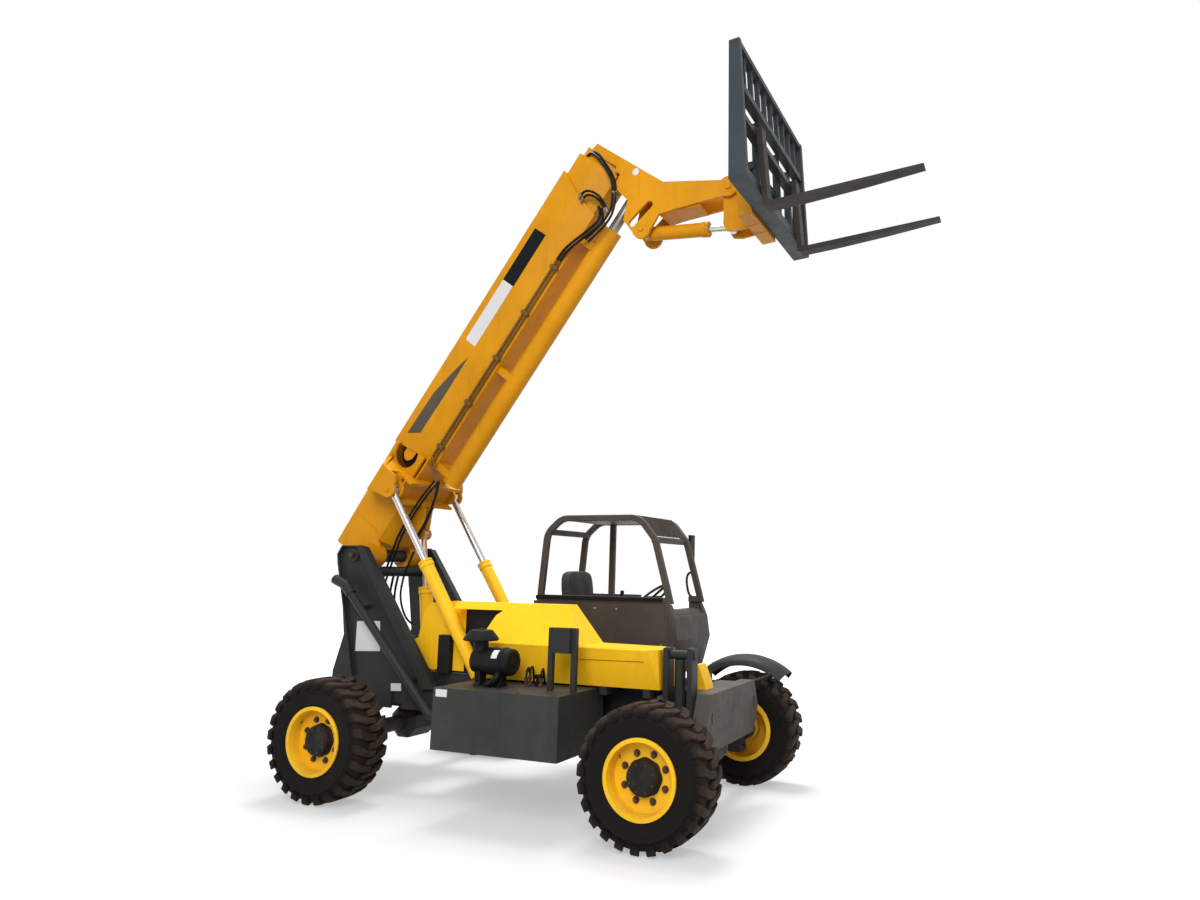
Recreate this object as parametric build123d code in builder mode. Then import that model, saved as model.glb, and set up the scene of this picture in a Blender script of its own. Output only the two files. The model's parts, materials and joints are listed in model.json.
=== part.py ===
from build123d import *
from math import cos, hypot, radians, sin
import os

# Rough-terrain telehandler with a two-stage boom, an offset cab and a gooseneck fork carriage.
# Millimetres. +X is forward, +Y is the operator's left and +Z is up.
# The origin is on the ground under the middle of the whole machine.

os.makedirs("parts", exist_ok=True)

# ---------------------------------------------------------------- fits
pin_fit = 0.06  # radial running clearance of a pin in its eye
seat_gap = 0.3  # between curved faces that seat on each other
side_gap = 5  # beside a moving eye, barrel or wheel

# ---------------------------------------------------------------- wheels
wheelbase = 2910
mid_x = -524  # the frame's datum, from which places along it are given
track = 2085  # between the middles of a pair of tyres
tyre_radius = 492
tyre_width = 355
rim_flange_radius = 274
rim_half_width = 165
rim_flange_thick = 15
rim_barrel_radius = 246
rim_wall = 10
disc_depth = 105  # from the outer flange in to the wheel disc
disc_thick = 16
hub_radius = 118
hub_end = 45  # from the outer flange in to the hub's end
hub_back = -40
spindle_radius = 40
spindle_end = 15
kingpin_y = 850
kingpin_radius = 24

front_axle_x = mid_x + 1455
rear_axle_x = front_axle_x - wheelbase
wheel_y = track / 2
axle_z = tyre_radius

# ---------------------------------------------------------------- axles
axle_tube_radius = 65
diff_radius = 150
diff_half_width = 190
yoke_thick = 45
yoke_half_width = 58
arm_thick = 38
knuckle_half_height = 118
knuckle_radius = 95

# ---------------------------------------------------------------- main frame
rail_y = 290  # inner face of a frame rail
rail_thick = 50
rail_bottom = 660  # over the axles
belly_bottom = 500  # between the axles
rail_top = 980
box_top = 880  # of the cross boxes over the axles
frame_front = mid_x + 1640
frame_rear = mid_x - 2050
belly_thick = 20

# ---------------------------------------------------------------- boom pivot and angle
boom_angle = 54.2
pivot_x = mid_x - 1867
pivot_z = 1992
pivot_radius = 60

# ---------------------------------------------------------------- boom sections
outer_half = 200
outer_top = 530
outer_shoulder = 262  # where the side folds in
outer_floor = 30
outer_floor_half = 120
outer_wall = 10
outer_start = 970
outer_end = 4030
outer_end_cut = 130  # the lower edge ends this much earlier
section_gap = 14  # between one section and the next
mid_end = 4235
inner_end = 4300

extend_barrel_radius = 92
extend_barrel_n = -150  # the extension cylinder's line under the boom
extend_barrel_start = 960
extend_barrel_end = 3800
extend_rod_radius = 48


def boom_frame(along, across):
    """World x, z of a point given along the boom and square to it, from the pivot."""
    c = cos(radians(boom_angle))
    s = sin(radians(boom_angle))
    return pivot_x + along * c - across * s, pivot_z + along * s + across * c


boom_direction = (cos(radians(boom_angle)), 0, sin(radians(boom_angle)))
boom_side = Plane(origin=(pivot_x, 0, pivot_z), x_dir=boom_direction, z_dir=(0, -1, 0))


def boom_section(along):
    """Plane square to the boom; its own x is +Y and its own y is the boom's upper side."""
    x, z = boom_frame(along, 0)
    return Plane(origin=(x, 0, z), x_dir=(0, 1, 0), z_dir=boom_direction)


# ---------------------------------------------------------------- lift cylinders
trunnion_along = 700
trunnion_across = 70
lift_y = 430
lift_base_x = mid_x - 400
lift_base_z = 900
lift_pin_radius = 30
lift_barrel_radius = 58
lift_rod_radius = 32
lift_barrel_length = 1244
lift_eye_radius = 58
lift_eye_width = 76

# ---------------------------------------------------------------- slave cylinder
slave_along = 400
slave_across = -196
slave_y = 0
slave_base_x = mid_x - 1320
slave_base_z = 950
slave_barrel_radius = 62
slave_rod_radius = 26
slave_barrel_length = 762
slave_pin_radius = 24
slave_eye_radius = 44
slave_eye_width = 60

# ---------------------------------------------------------------- jib, tilt cylinder and carriage
fork_pivot_x = mid_x + 1660
fork_pivot_z = 5170
fork_pivot_radius = 28
jib_half = 140
jib_plate = 28
tilt_base_x = mid_x + 838
tilt_base_z = 4901
tilt_eye_x = mid_x + 1660
tilt_eye_z = 4850
tilt_barrel_radius = 62
tilt_rod_radius = 30
tilt_barrel_length = 600
tilt_pin_radius = 24
tilt_eye_radius = 45
tilt_eye_width = 80

carriage_half = 913
carriage_tilt = 5
fork_half_spacing = 504
fork_width = 110


def export(part, name):
    part.label = name
    export_step(part, "parts/" + name + ".step")


def plate(outline, y_low, y_high, base=Plane.XZ, mode=Mode.ADD):
    """A flat plate with a straight-edged side outline, between two y values."""
    with BuildSketch(base.offset(-y_high)) as face:
        with BuildLine():
            Polyline(*outline, close=True)
        make_face()
    extrude(face.sketch, amount=y_high - y_low, mode=mode)


def block(x_low, x_high, y_low, y_high, z_low, z_high, mode=Mode.ADD):
    """A square block between its six faces."""
    with BuildSketch(Plane.XY.offset(z_low)) as face:
        with Locations(((x_low + x_high) / 2, (y_low + y_high) / 2)):
            Rectangle(x_high - x_low, y_high - y_low)
    extrude(face.sketch, amount=z_high - z_low, mode=mode)


def cross_pin(x, z, radius, y_low, y_high, mode=Mode.ADD):
    """A round bar along Y."""
    with BuildSketch(Plane.XZ.offset(-y_high)) as face:
        with Locations((x, z)):
            Circle(radius)
    extrude(face.sketch, amount=y_high - y_low, mode=mode)


def bar(start, end, radius, mode=Mode.ADD):
    """A round bar between two points."""
    line = Vector(*end) - Vector(*start)
    side = Vector(0, 1, 0) if abs(line.Y) < 0.9 * line.length else Vector(1, 0, 0)
    with BuildSketch(Plane(origin=start, x_dir=side.cross(line), z_dir=line)) as face:
        Circle(radius)
    extrude(face.sketch, amount=line.length, mode=mode)


# ================================================================ wheels and tyres
def wheel_plane(x, side):
    """Plane through a wheel's axis; its own x points outwards and its own y up."""
    return Plane(origin=(x, side * wheel_y, axle_z), x_dir=(0, side, 0), z_dir=(side, 0, 0))


def turned(outline, plane, mode=Mode.ADD):
    """A body turned about the wheel's axis from an outline of (outward, radius) points."""
    with BuildSketch(plane) as face:
        with BuildLine():
            Polyline(*outline, close=True)
        make_face()
    revolve(face.sketch, axis=Axis(plane.origin, plane.x_dir), mode=mode)


lug_count = 24
lug_root = 462  # radius of the tread between the lugs
lug_half = 24  # half of a lug's thickness, round the tyre
lug_lead = 46  # how far a lug's middle leads its ends
flat_turn = 180 / lug_count  # each lug has two flats of the carcass
bead = rim_half_width - rim_flange_thick - seat_gap
carcass_outline = [
    # radius, outward
    (rim_barrel_radius + seat_gap, -bead),
    (rim_flange_radius + 8, -bead),
    (352, 6 - tyre_width / 2),
    (lug_root, 24 - tyre_width / 2),
    (lug_root, tyre_width / 2 - 24),
    (352, tyre_width / 2 - 6),
    (rim_flange_radius + 8, bead),
    (rim_barrel_radius + seat_gap, bead),
]
lug_middle = lug_lead / 2
lug_end = tyre_width / 2
lug_outline = [
    # outward, round the tyre
    (0, lug_middle + lug_half),
    (-lug_end, lug_half - lug_middle - 8),
    (-lug_end, -lug_middle - lug_half),
    (0, lug_middle - lug_half),
    (lug_end, -lug_middle - lug_half),
    (lug_end, lug_half - lug_middle - 8),
]

# one lug's share of a tyre, about Z
with BuildPart() as tyre_pitch:
    for first in (-0.5, 0.5):
        for angle in (radians(first * flat_turn), radians((first + 1) * flat_turn)):
            outward = (cos(angle), sin(angle), 0)
            across = Plane((0, 0, 0), x_dir=outward, z_dir=(sin(angle), -cos(angle), 0))
            with BuildSketch(across):
                with BuildLine():
                    spread = 1 / cos(radians(flat_turn / 2))
                    Polyline(*((r * spread, u) for r, u in carcass_outline), close=True)
                make_face()
        loft(ruled=True)
    with BuildSketch(Plane((lug_root - 40, 0, 0), x_dir=(0, 0, 1), z_dir=(1, 0, 0))):
        with BuildLine():
            Polyline(*((u, -t) for u, t in lug_outline), close=True)
        make_face()
    extrude(amount=tyre_radius - lug_root + 40)

with BuildPart() as tyre_form:
    with PolarLocations(0, lug_count):
        add(tyre_pitch.part)


def build_tyre(name, x, side):
    """A tyre with chevron lugs right across the tread."""
    with BuildPart(Plane((x, side * wheel_y, axle_z), x_dir=(0, 0, 1), z_dir=(0, 1, 0))) as tyre:
        add(tyre_form.part)
    export(tyre.part, name)


def build_rim(name, x, side):
    inner = rim_barrel_radius - rim_wall
    disc = rim_half_width - disc_depth
    edge = rim_half_width
    hub = rim_half_width - hub_end
    shell = [
        (-edge, inner),
        (disc - disc_thick, inner),
        (disc - disc_thick, hub_radius),
        (hub_back, hub_radius),
        (hub_back, spindle_radius + pin_fit),
        (spindle_end + side_gap, spindle_radius + pin_fit),
        (spindle_end + side_gap, 0),
        (hub, 0),
        (hub, hub_radius - 22),
        (hub - 14, hub_radius),
        (disc, hub_radius),
        (disc, inner),
        (edge - 40, inner),
        (edge, inner + 8),
        (edge, rim_flange_radius),
        (edge - rim_flange_thick, rim_flange_radius),
        (edge - rim_flange_thick, rim_barrel_radius),
        (rim_flange_thick - edge, rim_barrel_radius),
        (rim_flange_thick - edge, rim_flange_radius),
        (-edge, rim_flange_radius),
    ]
    with BuildPart() as rim:
        turned(shell, wheel_plane(x, side))
    export(rim.part, name)


def build_knuckle(name, x, side):
    plane = wheel_plane(x, side)
    pin_u = kingpin_y - wheel_y
    with BuildPart() as knuckle:
        turned(
            [
                (pin_u - 10, 0),
                (spindle_end, 0),
                (spindle_end, spindle_radius),
                (hub_back - side_gap, spindle_radius),
                (hub_back - side_gap, knuckle_radius),
                (pin_u - 10, knuckle_radius),
            ],
            plane,
        )
        with BuildSketch(Plane.XY.offset(axle_z - knuckle_half_height)) as boss:
            with Locations((x, side * kingpin_y)):
                Circle(52)
        extrude(boss.sketch, amount=2 * knuckle_half_height)
        reach = knuckle_half_height + side_gap + arm_thick
        with BuildSketch(Plane.XY.offset(axle_z - reach)) as pin:
            with Locations((x, side * kingpin_y)):
                Circle(kingpin_radius)
        extrude(pin.sketch, amount=2 * reach)
    export(knuckle.part, name)


def build_axle(name, x):
    tube_end = kingpin_y - 150
    arm_low = knuckle_half_height + side_gap
    with BuildPart() as axle:
        with BuildSketch(Plane.XZ.offset(-diff_half_width)) as housing:
            with Locations((x, axle_z)):
                RegularPolygon(diff_radius, 8, rotation=22.5)
        extrude(housing.sketch, amount=2 * diff_half_width)
        chamfer(axle.edges().group_by(Axis.Y)[0], 50)
        chamfer(axle.edges().group_by(Axis.Y)[-1], 50)
        cross_pin(x, axle_z, axle_tube_radius, -tube_end, tube_end)
        for side in (1, -1):
            near = min(side * tube_end, side * (tube_end + yoke_thick))
            block(
                x - yoke_half_width,
                x + yoke_half_width,
                near,
                near + yoke_thick,
                axle_z - arm_low - arm_thick,
                axle_z + arm_low + arm_thick,
            )
            for level in (axle_z + arm_low, axle_z - arm_low - arm_thick):
                with BuildSketch(Plane.XY.offset(level)) as arm:
                    with Locations((x, side * kingpin_y)):
                        Circle(yoke_half_width)
                    with Locations((x, side * (tube_end + kingpin_y) / 2)):
                        Rectangle(2 * yoke_half_width, kingpin_y - tube_end)
                extrude(arm.sketch, amount=arm_thick)
            with BuildSketch(Plane.XY.offset(axle_z - 300)) as bore:
                with Locations((x, side * kingpin_y)):
                    Circle(kingpin_radius + pin_fit)
            extrude(bore.sketch, amount=600, mode=Mode.SUBTRACT)
    export(axle.part, name)


for axle_name, axle_x in (("front", front_axle_x), ("rear", rear_axle_x)):
    build_axle(axle_name + "_axle", axle_x)
    for side_name, side in (("left", 1), ("right", -1)):
        corner = axle_name + "_" + side_name
        build_knuckle("knuckle_" + corner, axle_x, side)
        build_rim("rim_" + corner, axle_x, side)
        build_tyre("tyre_" + corner, axle_x, side)

# ================================================================ main frame
cab_floor = 985
hood_bottom = 1000
tank_y_high = -505
lug_gap = (lift_eye_width + 2 * side_gap) / 2
lug_thick = 25
stand_top = 800  # of the brackets that carry the lift cylinders
rail_outline = [
    (frame_rear, rail_bottom),
    (mid_x - 950, rail_bottom),
    (mid_x - 800, belly_bottom),
    (mid_x + 800, belly_bottom),
    (mid_x + 950, rail_bottom),
    (frame_front, rail_bottom),
    (frame_front, rail_top - 10),
    (frame_front - 200, rail_top - 10),
    (frame_front - 230, rail_top),
    (frame_rear + 60, rail_top),
    (frame_rear, rail_top - 60),
]
rail_outer = rail_y + rail_thick
upright_y = -540
upright_half = 60
upright_top = 1312
upright_gap = 77  # half the clear space between the two uprights
upright_thick = 40
level_pin_z = 1262
level_x = mid_x + 1462
tower_inner = 440  # inner face of a tower's plate
tower_outer = 500  # outer edge of its flanges
tower_foot_rear = mid_x - 2000
tower_foot_front = mid_x - 1060

with BuildPart() as main_frame:
    for side in (1, -1):
        low = min(side * rail_y, side * rail_outer)
        plate(rail_outline, low, low + rail_thick)
    # belly plate and the cross boxes over the axles
    block(mid_x - 780, mid_x + 780, -rail_y, rail_y, belly_bottom, belly_bottom + belly_thick)
    block(mid_x + 1240, frame_front, -rail_y, rail_y, rail_bottom + 20, rail_top - 40)
    block(frame_rear, mid_x - 1080, -rail_y, rail_y, rail_bottom + 20, box_top)
    for x in (front_axle_x, rear_axle_x):
        # axle pad between the housing and the cross box
        block(x - 50, x + 50, -120, 120, axle_z + diff_radius * cos(radians(22.5)), rail_bottom + 25)
    # ears and pin of the slave cylinder, on the rear cross box
    half = slave_eye_width / 2 + side_gap
    for edge in (slave_y - half - 20, slave_y + half):
        plate(
            [
                (slave_base_x - 80, box_top - 10),
                (slave_base_x + 80, box_top - 10),
                (slave_base_x + 40, slave_base_z + 42),
                (slave_base_x - 40, slave_base_z + 42),
            ],
            edge,
            edge + 20,
        )
    cross_pin(slave_base_x, slave_base_z, slave_pin_radius, slave_y - half - 20, slave_y + half + 20)
export(main_frame.part, "main_frame")

# brackets welded to the outer faces of the rails
with BuildPart() as frame_brackets:
    for side in (1, -1):
        # foot box between the rail and a tower
        low = min(side * rail_outer, side * tower_inner)
        block(tower_foot_rear, tower_foot_front, low, low + tower_inner - rail_outer, 700, box_top)
        # stand of a lift cylinder: a bracket on the rail, two ears and the pin
        low = min(side * (lift_y - lug_gap - lug_thick), side * (lift_y + lug_gap + lug_thick))
        width = 2 * (lug_gap + lug_thick)
        foot = min(side * rail_outer, side * (lift_y + lug_gap + lug_thick))
        reach = lift_y + lug_gap + lug_thick - rail_outer
        block(lift_base_x - 130, lift_base_x + 130, foot, foot + reach, stand_top - 90, stand_top)
        for edge in (low, low + width - lug_thick):
            plate(
                [
                    (lift_base_x - 110, stand_top - 5),
                    (lift_base_x + 110, stand_top - 5),
                    (lift_base_x + 45, lift_base_z + 55),
                    (lift_base_x - 45, lift_base_z + 55),
                ],
                edge,
                edge + lug_thick,
            )
        cross_pin(lift_base_x, lift_base_z, lift_pin_radius, low, low + width)
    # bearers of the tank, the engine, the cab and the hood
    for x in (mid_x - 150, mid_x + 560):
        block(x, x + 80, tank_y_high, -rail_outer, 700, 800)
    for x in (mid_x - 110, mid_x + 290):
        block(x, x + 60, -495, -rail_outer, 900, rail_top)
    for x in (mid_x + 20, mid_x + 760):
        block(x, x + 80, rail_outer, 1000, 905, cab_floor)
    for x in (mid_x + 830, mid_x + 1200):
        block(x, x + 60, -640, -rail_outer, 940, hood_bottom)
    # uprights of the frame-level cylinder, outside the right rail
    block(
        level_x - upright_gap - upright_thick,
        level_x + upright_gap + upright_thick,
        upright_y - upright_half,
        -rail_outer,
        rail_bottom,
        rail_bottom + 60,
    )
    # the cylinder passes through the foot
    block(
        level_x - 60,
        level_x + 60,
        upright_y - upright_half - 1,
        upright_y + upright_half,
        rail_bottom - 1,
        rail_bottom + 61,
        mode=Mode.SUBTRACT,
    )
    for start in (level_x - upright_gap - upright_thick, level_x + upright_gap):
        block(
            start,
            start + upright_thick,
            upright_y - upright_half,
            upright_y + upright_half,
            rail_bottom,
            upright_top,
        )
        block(start, start + upright_thick, upright_y, -rail_outer, rail_bottom, rail_top)
    with BuildSketch(Plane.YZ.offset(level_x - upright_gap - upright_thick - 12)) as level_pin:
        with Locations((upright_y, level_pin_z)):
            Circle(34)
    extrude(level_pin.sketch, amount=2 * (upright_gap + upright_thick) + 24)
export(frame_brackets.part, "frame_brackets")

# frame-level cylinder between its pin and the front axle
with BuildPart() as level_cylinder:
    bar((level_x, upright_y, level_pin_z - 34 - seat_gap), (level_x, upright_y, 760), 42)
    bar((level_x, upright_y, 761), (level_x, upright_y, axle_z + axle_tube_radius + seat_gap), 24)
export(level_cylinder.part, "level_cylinder")

# ================================================================ rear towers
tower_sheet = 20
flange = 12
tower_top = 2080
tower_foot = 662
beam_width = 88
tower_outline = [
    (mid_x - 2040, tower_foot),
    (mid_x - 2030, 948),
    (mid_x - 1930, 1274),
    (mid_x - 2043, 2000),
    (mid_x - 1992, tower_top),
    (mid_x - 1790, tower_top),
    (mid_x - 1735, tower_top - 12),
    (mid_x - 860, 870),
    (mid_x - 780, 760),
    (mid_x - 850, tower_foot),
]
cross_tube_x = mid_x - 1784
cross_tube_z = 1845
cross_tube_radius = 47
beam_top = (mid_x - 1735, tower_top - 12)
beam_foot = (mid_x - 850, 856)
slot_rear = mid_x - 1338  # service slot low in a tower's plate
slot_width = 112
slot_top = 812

with BuildPart() as towers:
    for side in (1, -1):
        low = min(side * tower_inner, side * (tower_inner + tower_sheet))
        plate(tower_outline, low, low + tower_sheet)
        block(
            slot_rear,
            slot_rear + slot_width,
            low - 1,
            low + tower_sheet + 1,
            tower_foot - 1,
            slot_top,
            mode=Mode.SUBTRACT,
        )
        # front beam, standing out on both sides of the plate
        low = min(side * (tower_inner - 12), side * tower_outer)
        plate(
            [
                (beam_top[0] - beam_width, beam_top[1]),
                beam_top,
                beam_foot,
                (beam_foot[0] - 128, beam_foot[1] - 16),
            ],
            low,
            low + tower_outer - tower_inner + 12,
        )
        # rear and top flanges on the outer face
        low = min(side * (tower_inner + tower_sheet - 1), side * tower_outer)
        width = tower_outer - tower_inner - tower_sheet + 1
        plate(
            [
                (mid_x - 2043, 2000),
                (mid_x - 2043 + flange, 1994),
                (mid_x - 1776 + flange, 918),
                (mid_x - 1776, 918),
                (mid_x - 2030, 1915),
            ],
            low,
            low + width,
        )
        plate(
            [
                (mid_x - 2043, 2000),
                (mid_x - 1992, tower_top),
                (beam_top[0] - 40, tower_top),
                (beam_top[0] - 40, tower_top - flange),
                (mid_x - 1986, tower_top - flange),
                (mid_x - 2043 + flange, 1992),
            ],
            low,
            low + width,
        )
    cross_pin(cross_tube_x, cross_tube_z, cross_tube_radius, -tower_inner, tower_inner)
    cross_pin(pivot_x, pivot_z, pivot_radius, -tower_inner - 5, tower_inner + 5)
    for side in (1, -1):
        # keeper disc and bolt head of the pivot shaft
        low = min(side * tower_inner, side * (tower_outer - 18))
        cross_pin(pivot_x, pivot_z, 62, low, low + tower_outer - 18 - tower_inner)
        low = min(side * (tower_outer - 19), side * (tower_outer - 2))
        cross_pin(pivot_x, pivot_z, 26, low, low + 17)
export(towers.part, "rear_towers")

# ================================================================ right-hand tank, air cleaner, post frame
tank_y_low = -1175
tank_rear = mid_x - 310
tank_front = mid_x + 795
tank_bottom = 530
tank_top = 985

with BuildPart() as tank:
    block(tank_rear, tank_front, tank_y_low, tank_y_high, tank_bottom, tank_top)
export(tank.part, "tank")

cleaner_y = -900
cleaner_z = 1172
cleaner_radius = 108
cleaner_rear = mid_x - 205
cleaner_front = mid_x + 315
cap_x = mid_x - 117

with BuildPart() as air_cleaner:
    bar((cleaner_rear, cleaner_y, cleaner_z), (cleaner_front, cleaner_y, cleaner_z), cleaner_radius)
    bar((cap_x, cleaner_y, cleaner_z), (cap_x, cleaner_y, 1365), 62)
    with BuildSketch(Plane.XY.offset(1352)) as skirt:
        with Locations((cap_x, cleaner_y)):
            Circle(172)
    extrude(skirt.sketch, amount=80, taper=38)
    block(cap_x + 40, cap_x + 130, cleaner_y - 60, cleaner_y + 60, tank_top, cleaner_z)
    block(cap_x + 300, cap_x + 360, cleaner_y - 60, cleaner_y + 60, tank_top, cleaner_z)
export(air_cleaner.part, "air_cleaner")

post_y = -905
post_rear = mid_x + 535
post_front = mid_x + 775
post_top = 1450

with BuildPart() as post_frame:
    for start in (post_rear, post_front - 40):
        block(start, start + 40, post_y - 20, post_y + 20, tank_top, post_top)
    block(post_rear + 40, post_front - 40, post_y - 45, post_y + 45, 1266, post_top)
export(post_frame.part, "post_frame")

# ================================================================ exhaust
exhaust_y = -570
with BuildPart() as exhaust:
    with BuildLine() as pipe_line:
        FilletPolyline(
            (mid_x - 1795, exhaust_y, 1665),
            (mid_x - 835, exhaust_y, 665),
            (mid_x - 725, exhaust_y + 60, 600),
            (mid_x - 725, -rail_outer - seat_gap, 600),
            radius=40,
        )
    with BuildSketch(Plane(origin=pipe_line.line @ 0, z_dir=pipe_line.line % 0)) as ring:
        Circle(35)
        Circle(29, mode=Mode.SUBTRACT)
    sweep(ring.sketch, path=pipe_line.line)
    # the wider tail piece, turned rearwards
    with BuildLine() as tail_line:
        FilletPolyline(
            (mid_x - 1972, exhaust_y, 1772),
            (mid_x - 1850, exhaust_y, 1722),
            (mid_x - 1770, exhaust_y, 1639),
            radius=60,
        )
    with BuildSketch(Plane(origin=tail_line.line @ 0, z_dir=tail_line.line % 0)) as tail_ring:
        Circle(44)
        Circle(34, mode=Mode.SUBTRACT)
    sweep(tail_ring.sketch, path=tail_line.line)
    # hangers on the right tower's plate
    for x, z in ((mid_x - 1660, 1524), (mid_x - 1080, 920)):
        block(x - 20, x + 20, exhaust_y + 31, -tower_inner - tower_sheet, z - 20, z + 20)
export(exhaust.part, "exhaust")

# ================================================================ engine, hood
hood_top = 1600
hood_belt = 1290
hood_inner = -320
hood_outer_top = -450
hood_outer = -690
hood_outer_low = -620
hood_sheet = 20
hood_rear = mid_x - 270
hood_front = mid_x + 1330
hood_tail = mid_x - 690  # rear end of the top strip, beside the lift barrel
strip_depth = 60
nose_chamfer = 75

with BuildPart() as engine_block:
    with BuildSketch(Plane.YZ.offset(mid_x - 150)) as engine_face:
        with BuildLine():
            Polyline(
                (-345, rail_top), (-345, 1470), (-470, 1470), (-495, 1430), (-495, rail_top), close=True
            )
        make_face()
    extrude(engine_face.sketch, amount=540)
export(engine_block.part, "engine_block")

hood_section = [
    (hood_inner, hood_bottom),
    (hood_inner, hood_top),
    (hood_outer_top, hood_top),
    (hood_outer, hood_belt),
    (hood_outer_low, hood_bottom),
]
with BuildPart() as hood:
    with BuildSketch(Plane.YZ.offset(hood_tail)) as section:
        with BuildLine():
            Polyline(*hood_section, close=True)
        make_face()
    extrude(section.sketch, amount=hood_front - hood_tail)
    # the side outline: sloped rear edge, top strip, sloped front face, low nose
    with BuildSketch(Plane.XZ.offset(-hood_inner)) as outline:
        with BuildLine():
            Polyline(
                (hood_rear, hood_bottom),
                (hood_rear - 10, hood_belt),
                (hood_rear + 40, 1500),
                (hood_rear + 90, hood_top - strip_depth),
                (hood_tail, hood_top - strip_depth),
                (hood_tail, hood_top),
                (mid_x + 423, hood_top),
                (mid_x + 680, hood_belt + 12),
                (hood_front - 12, hood_belt + 5),
                (hood_front, hood_bottom),
                close=True,
            )
        make_face()
    extrude(outline.sketch, amount=500, mode=Mode.INTERSECT)
    # the nose's outer corner is cut back
    with BuildSketch(Plane.XY.offset(hood_bottom - 1)) as corner:
        with BuildLine():
            Polyline(
                (hood_front - nose_chamfer, hood_outer - 5),
                (hood_front + 5, hood_outer + nose_chamfer),
                (hood_front + 5, hood_outer - 5),
                close=True,
            )
        make_face()
    extrude(corner.sketch, amount=400, mode=Mode.SUBTRACT)
    # the open inside, over the engine
    with BuildSketch(Plane.YZ.offset(mid_x - 200)) as cavity:
        with BuildLine():
            Polyline(
                (hood_inner - hood_sheet, hood_bottom - 1),
                (hood_inner - hood_sheet, 1545),
                (hood_outer_top, 1545),
                (hood_outer + hood_sheet + 10, hood_belt),
                (hood_outer_low + hood_sheet, hood_bottom - 1),
                close=True,
            )
        make_face()
    extrude(cavity.sketch, amount=610, mode=Mode.SUBTRACT)
    with BuildSketch(Plane.YZ.offset(mid_x + 400)) as nose_cavity:
        with BuildLine():
            Polyline(
                (hood_inner - hood_sheet, hood_bottom - 1),
                (hood_inner - hood_sheet, hood_belt - 25),
                (hood_outer + hood_sheet + 10, hood_belt - 25),
                (hood_outer_low + hood_sheet, hood_bottom - 1),
                close=True,
            )
        make_face()
    extrude(nose_cavity.sketch, amount=830, mode=Mode.SUBTRACT)
    # inner wall beside the frame, from the boom's rest to the top strip
    with BuildSketch(Plane.XZ.offset(-hood_inner)) as inner_wall:
        with BuildLine():
            rising = Polyline(
                (hood_rear + 20, hood_bottom),
                (mid_x - 1026, hood_bottom),
            )
            ThreePointArc(rising @ 1, (mid_x - 1167, 1104), (mid_x - 1268, 1239))
            Polyline(
                (mid_x - 1268, 1239),
                (mid_x - 1180, 1269),
                (mid_x - 1132, 1513),
                (mid_x - 1054, 1576),
                (mid_x - 790, hood_top),
                (hood_rear + 20, hood_top),
                (hood_rear + 20, hood_bottom),
            )
        make_face()
    extrude(inner_wall.sketch, amount=hood_sheet)
export(hood.part, "hood")

with BuildPart() as valve_box:
    block(mid_x - 910, mid_x - 790, -400, hood_inner - hood_sheet, rail_top, 1305)
export(valve_box.part, "valve_box")

# ================================================================ front box
box_rear = mid_x + 1585
box_front = mid_x + 1705

box_sheet = 10
box_crown = 980
box_deck_rear = mid_x + 1450
box_outline = [
    (-500, box_crown),
    (500, box_crown),
    (600, 760),
    (480, 560),
    (-480, 560),
    (-600, 760),
]

with BuildPart() as front_box:
    with BuildSketch(Plane.YZ.offset(box_rear)) as box_face:
        with BuildLine():
            Polyline(*box_outline, close=True)
        make_face()
    extrude(box_face.sketch, amount=box_front - box_rear)
    with BuildSketch(Plane.YZ.offset(box_rear)) as box_inside:
        with BuildLine():
            Polyline(*box_outline, close=True)
        make_face()
        offset(amount=-box_sheet, kind=Kind.INTERSECTION)
    extrude(box_inside.sketch, amount=box_front - box_rear - box_sheet, mode=Mode.SUBTRACT)
    # lifting slots near both ends of the front plate
    for side in (1, -1):
        with BuildSketch(Plane.YZ.offset(box_front - box_sheet - 1)) as slot:
            with Locations((side * 490, 800)):
                SlotOverall(95, 24, rotation=90)
        extrude(slot.sketch, amount=box_sheet + 2, mode=Mode.SUBTRACT)
    # deck behind the box, on the frame
    block(box_deck_rear, box_rear + box_sheet, -rail_outer, rail_outer, box_crown - box_sheet, box_crown)
    # mounts on the ends of the rails
    for side in (1, -1):
        low = min(side * rail_y, side * rail_outer)
        block(frame_front, box_front - box_sheet, low, low + rail_thick, 740, 860)
export(front_box.part, "front_box")

# ================================================================ cab
cab_right = 300
cab_left = 1075
cab_sill = 1600
cab_rear = mid_x - 400
cab_wall = 30
cab_side_outline = [
    (cab_rear + 110, cab_floor),
    (mid_x + 985, cab_floor),
    (mid_x + 1070, 1290),
    (mid_x + 1040, 1480),
    (mid_x + 985, cab_sill),
    (cab_rear, cab_sill),
    (cab_rear, 1150),
]

with BuildPart() as cab_shell:
    plate(cab_side_outline, cab_right, cab_left)
    inner_outline = [
        (cab_rear + 125 + cab_wall, cab_floor + cab_wall),
        (mid_x + 950, cab_floor + cab_wall),
        (mid_x + 1035, 1290),
        (mid_x + 1010, 1460),
        (mid_x + 985, cab_sill + 10),
        (cab_rear + cab_wall, cab_sill + 10),
        (cab_rear + cab_wall, 1160),
    ]
    plate(inner_outline, cab_right + cab_wall, cab_left - cab_wall, mode=Mode.SUBTRACT)
    # windshield opening over the cowl
    block(
        mid_x + 900,
        mid_x + 1200,
        cab_right + 60,
        cab_left - 60,
        1500,
        cab_sill + 20,
        mode=Mode.SUBTRACT,
    )
    # entry on the left
    block(
        mid_x + 330,
        mid_x + 860,
        cab_left - 100,
        cab_left + 50,
        cab_floor + cab_wall,
        cab_sill + 20,
        mode=Mode.SUBTRACT,
    )
export(cab_shell.part, "cab_shell")

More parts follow.
